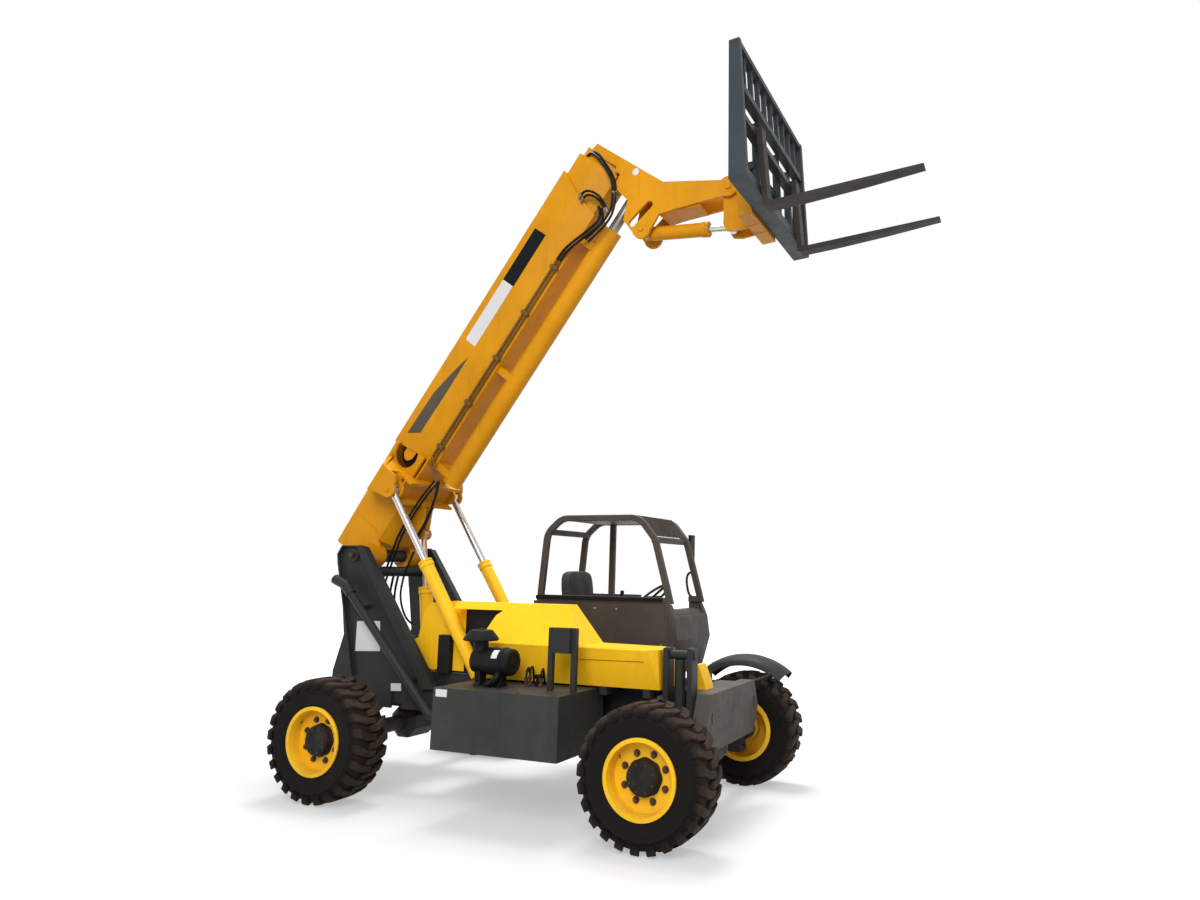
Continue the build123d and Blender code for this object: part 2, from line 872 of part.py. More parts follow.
tube = 55
cab_top = 2390
cab_bend = 130  # outer radius of the bends in the cab's tubes
cab_frame_outline = [
    (cab_rear + 25, cab_sill),
    (mid_x - 320, 2240),
    (mid_x - 150, cab_top),
    (mid_x + 680, cab_top),
    (mid_x + 850, 2180),
    (mid_x + 1015, cab_sill),
]
with BuildPart() as cab_frame:
    for low in (cab_right, cab_left - tube):
        with BuildSketch(Plane.XZ.offset(-low - tube)) as loop:
            with BuildLine():
                Polyline(*cab_frame_outline, close=True)
            make_face()
            fillet(loop.vertices().filter_by_position(Axis.Z, cab_sill + 50, cab_top + 1), cab_bend)
            offset(amount=-tube, kind=Kind.INTERSECTION, mode=Mode.SUBTRACT)
        extrude(loop.sketch, amount=tube)
    for x, z in ((mid_x - 310, 2240), (mid_x + 790, 2170)):
        block(x, x + tube, cab_right + tube, cab_left - tube, z - tube / 2, z + tube / 2)
    block(mid_x + 290, mid_x + 290 + tube, cab_left - tube, cab_left, cab_sill + tube, cab_top - tube)
    # no sill across the entry
    block(
        mid_x + 290 + tube,
        mid_x + 860,
        cab_left - tube - 1,
        cab_left + 1,
        cab_sill - 1,
        cab_sill + tube + 1,
        mode=Mode.SUBTRACT,
    )
export(cab_frame.part, "cab_frame")

with BuildPart() as cab_roof:
    block(mid_x - 110, mid_x + 640, cab_right + tube, cab_left - tube, 2340, 2385)
export(cab_roof.part, "cab_roof")

with BuildPart() as roof_grille:
    for index in range(9):
        y = cab_right + tube + 40 + index * (cab_left - cab_right - 2 * tube - 80) / 8
        plate(
            [
                (mid_x + 640, 2382),
                (mid_x + 690, 2378),
                (mid_x + 838, 2197.5),
                (mid_x + 805, 2197.5),
                (mid_x + 680, 2350),
                (mid_x + 640, 2350),
            ],
            y - 5,
            y + 5,
        )
export(roof_grille.part, "roof_grille")

# ================================================================ cab furniture
seat_y = (cab_right + cab_left) / 2
seat_x = mid_x + 60
with BuildPart() as seat:
    block(seat_x - 200, seat_x + 200, seat_y - 180, seat_y + 180, cab_floor + cab_wall, 1290)
    block(seat_x - 250, seat_x + 250, seat_y - 245, seat_y + 245, 1290, 1400)
    plate(
        [
            (seat_x - 250, 1400),
            (seat_x - 130, 1400),
            (seat_x - 190, 1880),
            (seat_x - 290, 1880),
        ],
        seat_y - 230,
        seat_y + 230,
    )
export(seat.part, "seat")

wheel_centre = (mid_x + 640, seat_y, 1640)
with BuildPart() as steering_column:
    block(mid_x + 760, mid_x + 900, seat_y - 110, seat_y + 110, cab_floor + cab_wall, 1450)
    bar((mid_x + 820, seat_y, 1420), wheel_centre, 28)
    column_line = Vector(*wheel_centre) - Vector(mid_x + 820, seat_y, 1420)
    with BuildSketch(
        Plane(origin=wheel_centre, x_dir=(0, 1, 0), z_dir=column_line).offset(-8)
    ) as rim_face:
        Circle(200)
        Circle(178, mode=Mode.SUBTRACT)
        Rectangle(370, 26)
        Rectangle(26, 370)
    extrude(rim_face.sketch, amount=18)
export(steering_column.part, "steering_column")

# ================================================================ mirror, fender
with BuildPart() as mirror:
    block(mid_x + 820, mid_x + 838, cab_left, cab_left + 90, 2120, 2138)
    block(mid_x + 815, mid_x + 843, cab_left + 40, cab_left + 140, 2000, 2240)
export(mirror.part, "mirror")

fender_radius = 642
fender_low_angle = 50
fender_high_angle = 134
fender_sweep = fender_high_angle - fender_low_angle
with BuildPart() as fender:
    with BuildSketch(Plane.XZ.offset(-1215)) as arc_face:
        with BuildLine():
            inner_arc = CenterArc(
                (front_axle_x, axle_z), fender_radius, fender_low_angle, fender_sweep
            )
            outer_arc = CenterArc(
                (front_axle_x, axle_z), fender_radius + 8, fender_low_angle, fender_sweep
            )
            Line(inner_arc @ 0, outer_arc @ 0)
            Line(inner_arc @ 1, outer_arc @ 1)
        make_face()
    extrude(arc_face.sketch, amount=330)
    # stay from the frame rail out to the fender
    block(front_axle_x + 20, front_axle_x + 100, rail_outer, rail_outer + 14, 850, 950)
    bar((front_axle_x + 60, rail_outer + 13, 900), (front_axle_x + 60, 700, 1142), 16)
    bar((front_axle_x + 60, 700, 1142), (front_axle_x + 60, 1000, 1142), 14)
export(fender.part, "fender_front_left")

# ================================================================ boom: outer section and its weldment
base_half = 238
base_plate = 25
pad_length = 110
lug_reach = 112  # radius of the pivot lug, clear of the cross tube
saddle_front = 620  # along the boom, where the saddle's channel starts and ends
saddle_rear = 842
wing_inner = 473
wing_outer = 495
hanger_inner = 178
chain_shaft_radius = 20
chain_wheel_inner = 132
chain_wheel_outer = 156
chain_wheel_radius = 122


def section_outline(inset, top, shoulder, floor):
    """Six-sided boom section, drawn in by an inset; its own x is +Y."""
    half = outer_half - inset
    low = outer_floor_half - inset * 0.6
    return [
        (-half, top),
        (half, top),
        (half, shoulder),
        (low, floor),
        (-low, floor),
        (-half, shoulder),
    ]


def tube_section(start, end, inset, wall):
    """A hollow run of one boom section."""
    top = outer_top - inset
    shoulder = outer_shoulder + inset * 0.3
    floor = outer_floor + inset
    with BuildSketch(boom_section(start)) as face:
        with BuildLine():
            Polyline(*section_outline(inset, top, shoulder, floor), close=True)
        make_face()
        offset(amount=-wall, kind=Kind.INTERSECTION, mode=Mode.SUBTRACT)
    extrude(face.sketch, amount=end - start)


def slide_pads(start, half, top, floor_half, floor, thick):
    """Wear pads on the four sides of a section, just clear of the section they slide against."""
    pads = (
        (0, top - thick / 2, 1.4 * half, abs(thick)),
        (0, floor + thick / 2, 1.6 * floor_half, abs(thick)),
        (half - thick / 2, top - 120, abs(thick), 160),
        (thick / 2 - half, top - 120, abs(thick), 160),
    )
    with BuildSketch(boom_section(start)) as face:
        for y, n, width, height in pads:
            with Locations((y, n)):
                Rectangle(width, height)
    extrude(face.sketch, amount=pad_length)


trunnion_x, trunnion_z = boom_frame(trunnion_along, trunnion_across)
slave_pin_x, slave_pin_z = boom_frame(slave_along, slave_across)
doubler = 12
boss_inner = 168
boss_outer = 370
notch_along = 975  # middle of the round notch for the chain wheels
notch_across = 300
notch_radius = 138
weld_top = [(-140, 430), (1010, 465)]  # upper edge of the side plates

with BuildPart() as boom_outer:
    tube_section(outer_start, outer_end, 0, outer_wall)
    # slanted ends of the tube
    with BuildSketch(boom_side.offset(-400)) as ends:
        with BuildLine():
            Polyline(
                (outer_end, outer_top + 20),
                (outer_end - outer_end_cut, outer_shoulder),
                (outer_end - outer_end_cut - 80, outer_floor - 20),
                (outer_end + 100, outer_floor - 20),
                (outer_end + 100, outer_top + 20),
                close=True,
            )
        make_face()
        with BuildLine():
            Polyline(
                (outer_start - 20, outer_top + 20),
                (outer_start + 5, outer_top + 20),
                (outer_start + 60, outer_shoulder - 20),
                (outer_start + 60, outer_floor - 20),
                (outer_start - 20, outer_floor - 20),
                close=True,
            )
        make_face()
    extrude(ends.sketch, amount=800, mode=Mode.SUBTRACT)
    # wear pads inside the open end
    pad = section_gap + 4 - seat_gap
    slide_pads(
        outer_end - outer_end_cut - 200,
        outer_half - outer_wall,
        outer_top - outer_wall,
        outer_floor_half - outer_wall,
        outer_floor + outer_wall,
        pad,
    )
    # side plates of the pivot weldment, with the lugs round the pivot
    for side in (1, -1):
        low = min(side * (base_half - base_plate), side * base_half)
        with BuildSketch(boom_side.offset(-low - base_plate)) as side_plate:
            with BuildLine():
                Polyline(
                    weld_top[0],
                    weld_top[1],
                    (1030, 330),
                    (1060, 200),
                    (1060, 96),
                    (saddle_rear, 96),
                    (saddle_rear, 60),
                    (saddle_front, 60),
                    (saddle_front, 40),
                    (150, 40),
                    (90, -60),
                    (0, -lug_reach),
                    (-lug_reach, 0),
                    close=True,
                )
            make_face()
            Circle(lug_reach)
            with Locations((notch_along, notch_across)):
                Circle(notch_radius, mode=Mode.SUBTRACT)
        extrude(side_plate.sketch, amount=base_plate)
        # doubler plate over the rear of the side
        low = min(side * base_half, side * (base_half + doubler))
        plate(
            [(-140, 430), (203, 440), (216, 115), (110, -40), (40, -104), (-lug_reach, 0)],
            low,
            low + doubler,
            base=boom_side,
        )
        # pivot boss
        low = min(side * boss_inner, side * boss_outer)
        cross_pin(pivot_x, pivot_z, lug_reach, low, low + boss_outer - boss_inner)
    # top sheet between the side plates
    plate(
        [
            weld_top[0],
            weld_top[1],
            (weld_top[1][0], weld_top[1][1] + 15),
            (weld_top[0][0], weld_top[0][1] + 15),
        ],
        -base_half,
        base_half,
        base=boom_side,
    )
    # folded bottom sheet
    with BuildSketch(boom_section(150)) as bottom_sheet:
        with BuildLine():
            Polyline(
                (-base_half, 40),
                (-120, -50),
                (120, -50),
                (base_half, 40),
                (base_half - 20, 46),
                (116, -36),
                (-116, -36),
                (20 - base_half, 46),
                close=True,
            )
        make_face()
    extrude(bottom_sheet.sketch, amount=saddle_front - 150)
    # floor that ties the weldment to the tube, above the saddle's web
    tie_half = base_half - base_plate
    plate([(560, 60), (1100, 60), (1100, 80), (560, 80)], -tie_half, tie_half, base=boom_side)
    tie_half = outer_floor_half - 20
    plate(
        [(1000, outer_floor), (1100, outer_floor), (1100, 61), (1000, 61)],
        -tie_half,
        tie_half,
        base=boom_side,
    )
    # hangers and shaft of the chain wheels
    for side in (1, -1):
        low = min(side * hanger_inner, side * (outer_half - outer_wall))
        plate(
            [(905, 330), (950, 370), (1120, 370), (1120, 240), (950, 250), (905, 290)],
            low,
            low + outer_half - outer_wall - hanger_inner,
            base=boom_side,
        )
    wheel_x, wheel_z = boom_frame(notch_along, notch_across)
    cross_pin(wheel_x, wheel_z, chain_shaft_radius, -hanger_inner, hanger_inner)
    # ears of the slave cylinder
    half = slave_eye_width / 2 + side_gap
    for edge in (slave_y - half - 18, slave_y + half):
        with BuildSketch(boom_side.offset(-edge - 18)) as ear:
            with BuildLine():
                Polyline(
                    (slave_along - 60, -45),
                    (saddle_front, -45),
                    (saddle_front, -95),
                    (slave_along + 48, slave_across + 10),
                    (slave_along - 48, slave_across + 10),
                    close=True,
                )
            make_face()
            with Locations((slave_along, slave_across)):
                Circle(50)
        extrude(ear.sketch, amount=18)
    cross_pin(slave_pin_x, slave_pin_z, slave_pin_radius, slave_y - half - 30, slave_y - half)
    cross_pin(slave_pin_x, slave_pin_z, slave_pin_radius, slave_y + half, slave_y + half + 30)
    cross_pin(pivot_x, pivot_z, pivot_radius + pin_fit, -500, 500, mode=Mode.SUBTRACT)
export(boom_outer.part, "boom_outer")

# chain wheels on their shaft
with BuildPart() as chain_wheels:
    for side in (1, -1):
        wheel_plane = Plane(origin=(wheel_x, 0, wheel_z), x_dir=(0, side, 0), z_dir=boom_direction)
        with BuildSketch(wheel_plane) as wheel_face:
            with BuildLine():
                Polyline(
                    (chain_wheel_inner, chain_shaft_radius + seat_gap),
                    (chain_wheel_outer, chain_shaft_radius + seat_gap),
                    (chain_wheel_outer, 62),
                    (chain_wheel_outer - 6, 62),
                    (chain_wheel_outer - 6, 82),
                    (chain_wheel_outer, 86),
                    (chain_wheel_outer, chain_wheel_radius),
                    (chain_wheel_inner, chain_wheel_radius),
                    close=True,
                )
            make_face()
        revolve(wheel_face.sketch, axis=Axis((wheel_x, 0, wheel_z), (0, 1, 0)))
export(chain_wheels.part, "chain_wheels")

# ================================================================ boom: saddle for the lift cylinders
wing_section = [
    # outward, across the boom
    (base_half, 420),
    (base_half + 20, 430),
    (wing_outer, 260),
    (wing_outer, -40),
    (wing_inner, -40),
    (wing_inner, 240),
]
wing_outline = [
    (520, 440),
    (914, 440),
    (870, 400),
    (842, 190),
    (846, 75),
    (790, 30),
    (640, 10),
    (600, 150),
    (540, 320),
]
eye_lug_radius = 78
inner_lug = 362  # inner face of the lugs beside the rod eyes
inner_lug_thick = 22

with BuildPart() as boom_saddle:
    for side in (1, -1):
        with BuildSketch(boom_section(500)) as wing:
            with BuildLine():
                Polyline(*((side * y, n) for y, n in wing_section), close=True)
            make_face()
        extrude(wing.sketch, amount=440)
    with BuildSketch(boom_side.offset(-520)) as wing_side:
        with BuildLine():
            Polyline(*wing_outline, close=True)
        make_face()
        with Locations((trunnion_along, trunnion_across - 10)):
            Circle(eye_lug_radius)
    extrude(wing_side.sketch, amount=1040, mode=Mode.INTERSECT)
    # channel across under the boom: rear flange, web, front flange
    channel_half = inner_lug - 2
    plate([(620, -60), (640, -60), (640, 60), (620, 60)], -channel_half, channel_half, base=boom_side)
    plate([(620, 40), (840, 40), (840, 60), (620, 60)], -channel_half, channel_half, base=boom_side)
    plate([(817, -30), (842, -30), (842, 60), (817, 60)], -channel_half, channel_half, base=boom_side)
    for side in (1, -1):
        # gusset between the boom's side and the wing
        with BuildSketch(boom_section(817)) as gusset:
            with BuildLine():
                Polyline(
                    (side * base_half, 58),
                    (side * base_half, 405),
                    (side * (wing_inner + 2), 238),
                    (side * (wing_inner + 2), 160),
                    (side * channel_half, 160),
                    (side * channel_half, 58),
                    close=True,
                )
            make_face()
        extrude(gusset.sketch, amount=25)
        # lug inboard of the rod's eye
        low = min(side * inner_lug, side * (inner_lug + inner_lug_thick))
        with BuildSketch(boom_side.offset(-low - inner_lug_thick)) as lug_face:
            with BuildLine():
                Polyline((628, 60), (620, 200), (830, 200), (830, 100), (775, 60), close=True)
            make_face()
            with Locations((trunnion_along, trunnion_across - 10)):
                Circle(eye_lug_radius)
        extrude(lug_face.sketch, amount=inner_lug_thick)
        low = min(side * (inner_lug - 3), side * inner_lug)
        plate([(622, 42), (760, 42), (760, 58), (622, 58)], low, low + 3, base=boom_side)
        # pin head on the outside of the wing
        low = min(side * wing_outer, side * (wing_outer + 8))
        cross_pin(trunnion_x, trunnion_z, 30, low, low + 8)
export(boom_saddle.part, "boom_saddle")

# ================================================================ boom: cylinder and middle section
def on_boom(along, across, y=0):
    """A point on the boom, as x, y, z."""
    x, z = boom_frame(along, across)
    return (x, y, z)


extend_rod_start = 1100
bracket_along = 4150  # where the extension rod is held under the middle section

with BuildPart() as extension_barrel:
    bar(
        on_boom(extend_barrel_start, extend_barrel_n),
        on_boom(extend_barrel_end, extend_barrel_n),
        extend_barrel_radius,
    )
    for along in (extend_barrel_start + 40, 2100, extend_barrel_end - 260):
        # brackets up to the boom's lower face
        with BuildSketch(boom_section(along)) as bracket:
            with Locations((0, (extend_barrel_n + outer_floor) / 2)):
                Rectangle(2 * extend_barrel_radius, outer_floor - extend_barrel_n)
        extrude(bracket.sketch, amount=70)
    bar(
        on_boom(extend_rod_start - 60, extend_barrel_n),
        on_boom(extend_barrel_end, extend_barrel_n),
        extend_rod_radius + pin_fit,
        mode=Mode.SUBTRACT,
    )
export(extension_barrel.part, "extension_barrel")

mid_inset = outer_wall + section_gap + 4
mid_start = 1112
mid_wall = 10
inner_inset = mid_inset + mid_wall + section_gap + 3
with BuildPart() as boom_mid:
    tube_section(mid_start, mid_end, mid_inset, mid_wall)
    with BuildSketch(boom_section(bracket_along)) as bracket:
        with Locations((0, (extend_barrel_n - 60 + outer_floor + mid_inset) / 2)):
            Rectangle(110, outer_floor + mid_inset - extend_barrel_n + 60)
    extrude(bracket.sketch, amount=70)
    slide_pads(
        mid_end - 170,
        outer_half - mid_inset - mid_wall,
        outer_top - mid_inset - mid_wall,
        outer_floor_half - 0.6 * mid_inset - mid_wall,
        outer_floor + mid_inset + mid_wall,
        inner_inset - mid_inset - mid_wall - seat_gap,
    )
export(boom_mid.part, "boom_mid")

with BuildPart() as extension_rod:
    bar(
        on_boom(extend_rod_start, extend_barrel_n),
        on_boom(bracket_along, extend_barrel_n),
        extend_rod_radius,
    )
export(extension_rod.part, "extension_rod")

# ================================================================ boom: inner section with the jib
inner_start = 1172
inner_wall = 10
fork_pivot = ((fork_pivot_x - pivot_x), (fork_pivot_z - pivot_z))
tilt_base = ((tilt_base_x - pivot_x), (tilt_base_z - pivot_z))


def to_boom(point):
    """Boom coordinates of a world offset from the boom's pivot."""
    c = cos(radians(boom_angle))
    s = sin(radians(boom_angle))
    return (point[0] * c + point[1] * s, point[1] * c - point[0] * s)


jib_nose = to_boom(fork_pivot)
jib_lug = to_boom(tilt_base)
jib_outline = [
    (inner_end, 440),
    (4393, 417),
    (4393, -417),
    (4712, -1017),
    (4690, -1080),
    (4600, -1070),
    (4222, -653),
    (4128, -561),
    (3990, -575),
    (3890, -545),
    (3875, -432),
    (3923, -279),
    (4095, -204),
    (4131, 0),
    (4260, 20),
    (4260, 90),
    (inner_end, 100),
]
slot_middle = (4051, -402)
slot_span = 221
slot_turn = -12.3
slot_width_jib = 70

with BuildPart() as boom_inner:
    tube_section(inner_start, inner_end, inner_inset, inner_wall)
    with BuildSketch(boom_section(inner_end)) as end_plate:
        with BuildLine():
            Polyline(
                *section_outline(
                    inner_inset,
                    outer_top - inner_inset,
                    outer_shoulder + inner_inset * 0.3,
                    outer_floor + inner_inset,
                ),
                close=True,
            )
        make_face()
    extrude(end_plate.sketch, amount=25)
    for side in (1, -1):
        low = min(side * (jib_half - jib_plate), side * jib_half)
        with BuildSketch(boom_side.offset(-low - jib_plate)) as cheek:
            with BuildLine():
                Polyline(*jib_outline, close=True)
            make_face()
            with Locations(jib_nose):
                Circle(92)
            with Locations(jib_lug):
                Circle(88)
            with Locations(slot_middle):
                SlotCenterToCenter(slot_span, slot_width_jib, rotation=slot_turn, mode=Mode.SUBTRACT)
        extrude(cheek.sketch, amount=jib_plate)
        cross_pin(
            fork_pivot_x,
            fork_pivot_z,
            fork_pivot_radius + pin_fit,
            low - 5,
            low + jib_plate + 5,
            mode=Mode.SUBTRACT,
        )
    # front and lower cross plates between the cheeks
    for strip in (
        [(4368, 400), (4393, 400), (4393, -417), (4368, -417)],
        [(4368, -417), (4393, -417), (4500, -618), (4478, -630)],
        [(4140, -560), (4222, -640), (4400, -835), (4380, -855), (4222, -653), (4128, -561)],
    ):
        with BuildSketch(boom_side.offset(-jib_half + jib_plate)) as web:
            with BuildLine():
                Polyline(*strip, close=True)
            make_face()
        extrude(web.sketch, amount=2 * (jib_half - jib_plate))
    # pin of the tilt cylinder's barrel
    cross_pin(tilt_base_x, tilt_base_z, tilt_pin_radius, -jib_half - 12, jib_half + 12)
export(boom_inner.part, "boom_inner")


# ================================================================ cylinders
def cylinder_plane(base, eye, y):
    """Side plane of a cylinder: its own x runs from the base pin to the rod's eye."""
    line = Vector(eye[0] - base[0], 0, eye[1] - base[1]).normalized()
    return Plane(origin=(base[0], y, base[1]), x_dir=(line.X, 0, line.Z), z_dir=(0, -1, 0))


def build_barrel(name, base, eye, y, sizes):
    """A cylinder's barrel with the eye at its base, bored for its rod."""
    bore = sizes["rod"] + pin_fit
    start = sizes["start"] + 15
    with BuildPart() as barrel:
        turned(
            [
                (sizes["eye"] * 0.6, 0),
                (sizes["eye"] * 0.6, sizes["neck"]),
                (sizes["start"], sizes["neck"]),
                (sizes["start"], sizes["barrel"]),
                (sizes["length"] - 62, sizes["barrel"]),
                (sizes["length"] - 62, sizes["barrel"] + 6),
                (sizes["length"] - 24, sizes["barrel"] + 6),
                (sizes["length"] - 24, sizes["barrel"] + 2),
                (sizes["length"] - 18, sizes["barrel"] + 2),
                (sizes["length"] - 18, sizes["barrel"] + 6),
                (sizes["length"], sizes["barrel"] + 6),
                (sizes["length"], bore),
                (start, bore),
                (start, 0),
            ],
            cylinder_plane(base, eye, y),
        )
        half = sizes["eye_width"] / 2
        cross_pin(base[0], base[1], sizes["eye"], y - half, y + half)
        bore = sizes["pin"] + pin_fit
        cross_pin(base[0], base[1], bore, y - half - 50, y + half + 50, mode=Mode.SUBTRACT)
    export(barrel.part, name)


def build_rod(name, base, eye, y, sizes):
    """A cylinder's rod with its eye."""
    span = hypot(eye[0] - base[0], eye[1] - base[1])
    with BuildPart() as rod:
        turned(
            [
                (span - sizes["rod_length"], 0),
                (span - sizes["rod_length"], sizes["rod"]),
                (span - sizes["rod_eye"] * 0.5, sizes["rod"]),
                (span - sizes["rod_eye"] * 0.5, 0),
            ],
            cylinder_plane(base, eye, y),
        )
        half = sizes["rod_eye_width"] / 2
        cross_pin(eye[0], eye[1], sizes["rod_eye"], y - half, y + half)
    export(rod.part, name)


lift_sizes = {
    "barrel": lift_barrel_radius,
    "neck": 36,
    "start": 95,
    "rod": lift_rod_radius,
    "length": lift_barrel_length,
    "rod_length": 1230,
    "pin": lift_pin_radius,
    "eye": lift_eye_radius,
    "eye_width": lift_eye_width,
    "rod_eye": 62,
    "rod_eye_width": 76,
}
slave_sizes = {
    "barrel": slave_barrel_radius,
    "neck": 28,
    "start": 72,
    "rod": slave_rod_radius,
    "length": slave_barrel_length,
    "rod_length": 735,
    "pin": slave_pin_radius,
    "eye": slave_eye_radius,
    "eye_width": slave_eye_width,
    "rod_eye": 42,
    "rod_eye_width": slave_eye_width,
}
tilt_sizes = {
    "barrel": tilt_barrel_radius,
    "neck": 38,
    "start": 50,
    "rod": tilt_rod_radius,
    "length": tilt_barrel_length,
    "rod_length": 612,
    "pin": tilt_pin_radius,
    "eye": tilt_eye_radius,
    "eye_width": tilt_eye_width,
    "rod_eye": 48,
    "rod_eye_width": 120,
}
for side_name, side in (("left", 1), ("right", -1)):
    lift_points = ((lift_base_x, lift_base_z), (trunnion_x, trunnion_z), side * lift_y, lift_sizes)
    build_barrel("lift_barrel_" + side_name, *lift_points)
    build_rod("lift_rod_" + side_name, *lift_points)
slave_points = ((slave_base_x, slave_base_z), (slave_pin_x, slave_pin_z), slave_y, slave_sizes)
build_barrel("slave_barrel", *slave_points)
build_rod("slave_rod", *slave_points)
tilt_points = ((tilt_base_x, tilt_base_z), (tilt_eye_x, tilt_eye_z), 0, tilt_sizes)
build_barrel("tilt_barrel", *tilt_points)
build_rod("tilt_rod", *tilt_points)

# ================================================================ quick attach, carriage, forks
carriage_side = Plane(
    origin=(fork_pivot_x, 0, fork_pivot_z),
    x_dir=(cos(radians(carriage_tilt)), 0, sin(radians(carriage_tilt))),
    z_dir=(0, -1, 0),
)
attach_inner = 72  # inner face of the plates that straddle the tilt rod's eye
attach_plate = 30

with BuildPart() as quick_attach:
    for side in (1, -1):
        low = min(side * attach_inner, side * (attach_inner + attach_plate))
        plate(
            [
                (-58, 10),
                (-30, 58),
                (60, 60),
                (250, 30),
                (250, -390),
                (20, -400),
                (-60, -380),
                (-85, -320),
                (-75, -250),
            ],
            low,
            low + attach_plate,
            base=carriage_side,
        )
    plate([(130, 30), (250, 30), (250, -390), (130, -390)], -330, 330, base=carriage_side)
    cross_pin(fork_pivot_x, fork_pivot_z, fork_pivot_radius, -jib_half - 14, jib_half + 14)
export(quick_attach.part, "quick_attach")

carriage_rear = 257
carriage_front = 407
carriage_bottom = -360
carriage_top = 780
side_thick = 48
with BuildPart() as carriage:
    for side in (1, -1):
        low = min(side * (carriage_half - side_thick), side * carriage_half)
        plate(
            [
                (carriage_rear, carriage_bottom),
                (carriage_front, carriage_bottom),
                (438, carriage_top),
                (350, carriage_top),
            ],
            low,
            low + side_thick,
            base=carriage_side,
        )
    inside = carriage_half - side_thick
    plate([(255, -360), (400, -360), (402, -280), (262, -280)], -inside, inside, base=carriage_side)
    plate([(330, 140), (405, 140), (407, 190), (332, 190)], -inside, inside, base=carriage_side)
    plate([(340, 385), (415, 385), (417, 440), (344, 440)], -inside, inside, base=carriage_side)
    plate([(356, 735), (430, 735), (432, 780), (360, 780)], -inside, inside, base=carriage_side)
    for index in range(9):
        y = (index - 4) * 180
        plate([(362, 430), (402, 430), (408, 745), (368, 745)], y - 12, y + 12, base=carriage_side)
    for y in (-640, -290, 290, 640):
        plate([(266, -290), (330, -290), (352, 400), (300, 400)], y - 25, y + 25, base=carriage_side)
    for level in (-250, 0):
        plate(
            [(250, level), (300, level), (300, level + 60), (250, level + 60)],
            -330,
            330,
            base=carriage_side,
        )
export(carriage.part, "carriage")

with BuildPart() as forks:
    for side in (1, -1):
        y = side * fork_half_spacing
        plate(
            [
                (408, 190),
                (330, 190),
                (330, 210),
                (455, 210),
                (455, -410),
                (480, -433),
                (1655, -433),
                (1655, -447),
                (1200, -470),
                (760, -481),
                (430, -481),
                (408, -460),
            ],
            y - fork_width / 2,
            y + fork_width / 2,
            base=carriage_side,
        )
export(forks.part, "forks")
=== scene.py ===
"""Looks of the rough-terrain telehandler: finishes, tread, fittings, hoses, seat, light and camera.

Metres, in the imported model's own frame: +X forward, +Y the operator's left, +Z up.
"""

import json
import math

import bmesh
import bpy
from mathutils import Matrix, Vector


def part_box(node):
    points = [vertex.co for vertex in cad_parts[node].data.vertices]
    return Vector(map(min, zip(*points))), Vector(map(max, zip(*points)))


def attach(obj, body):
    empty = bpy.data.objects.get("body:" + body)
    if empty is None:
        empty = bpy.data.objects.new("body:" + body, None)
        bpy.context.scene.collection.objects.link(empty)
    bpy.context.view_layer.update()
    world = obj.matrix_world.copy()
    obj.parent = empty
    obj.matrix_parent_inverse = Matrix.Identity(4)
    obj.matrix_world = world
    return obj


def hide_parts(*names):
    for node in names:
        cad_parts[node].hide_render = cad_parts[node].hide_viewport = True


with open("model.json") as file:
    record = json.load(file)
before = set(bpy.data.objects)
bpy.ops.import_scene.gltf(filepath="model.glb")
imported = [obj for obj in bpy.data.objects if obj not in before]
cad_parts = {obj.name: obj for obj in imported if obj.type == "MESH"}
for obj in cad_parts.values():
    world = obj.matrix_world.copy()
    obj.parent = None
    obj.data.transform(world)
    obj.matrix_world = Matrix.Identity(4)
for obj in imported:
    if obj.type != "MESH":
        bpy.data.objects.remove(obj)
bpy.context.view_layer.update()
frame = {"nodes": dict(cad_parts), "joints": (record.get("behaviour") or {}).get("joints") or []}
nodes = frame["nodes"]

# ---------------- colours
BOOM_YELLOW = (0.64, 0.270, 0.003)
BODY_YELLOW = (0.98, 0.520, 0.012)
CHASSIS_GREY = (0.023, 0.024, 0.024)
TANK_GREY = (0.032, 0.033, 0.032)
CAB_BROWN = (0.066, 0.056, 0.048)
CARRIAGE_BLUE = (0.031, 0.040, 0.045)
FORK_BROWN = (0.027, 0.022, 0.020)
RUBBER = (0.0075, 0.0070, 0.0068)
TREAD_DUST = (0.095, 0.062, 0.042)
DUST = (0.26, 0.20, 0.14)
RUST = (0.17, 0.065, 0.025)
BARE_STEEL = (0.36, 0.35, 0.33)
CHROME = (0.52, 0.50, 0.48)
HOSE_BLACK = (0.008, 0.008, 0.008)
SEAT_BLACK = (0.045, 0.044, 0.040)
LABEL_WHITE = (0.68, 0.67, 0.66)
LABEL_BLACK = (0.006, 0.008, 0.009)
LABEL_GREY = (0.085, 0.070, 0.052)
# a shaded copy of the body's yellow: painted shade along the hood's seam
SEAM_SHADE_BROWN = (0.30, 0.15, 0.006)
FENDER_GREY = (0.026, 0.026, 0.025)
PAINT_BLACK = (0.010, 0.010, 0.010)
PLASTIC_BLACK = (0.009, 0.009, 0.010)
HUB_BLACK = (0.009, 0.009, 0.009)
ROD_BROWN = (0.42, 0.30, 0.20)
FITTING_BROWN = (0.20, 0.15, 0.10)
DULL_STEEL = (0.22, 0.20, 0.18)
IRON_BROWN = (0.085, 0.050, 0.035)
PIPE_BROWN = (0.17, 0.085, 0.022)
PIPE_STEEL = (0.16, 0.13, 0.10)


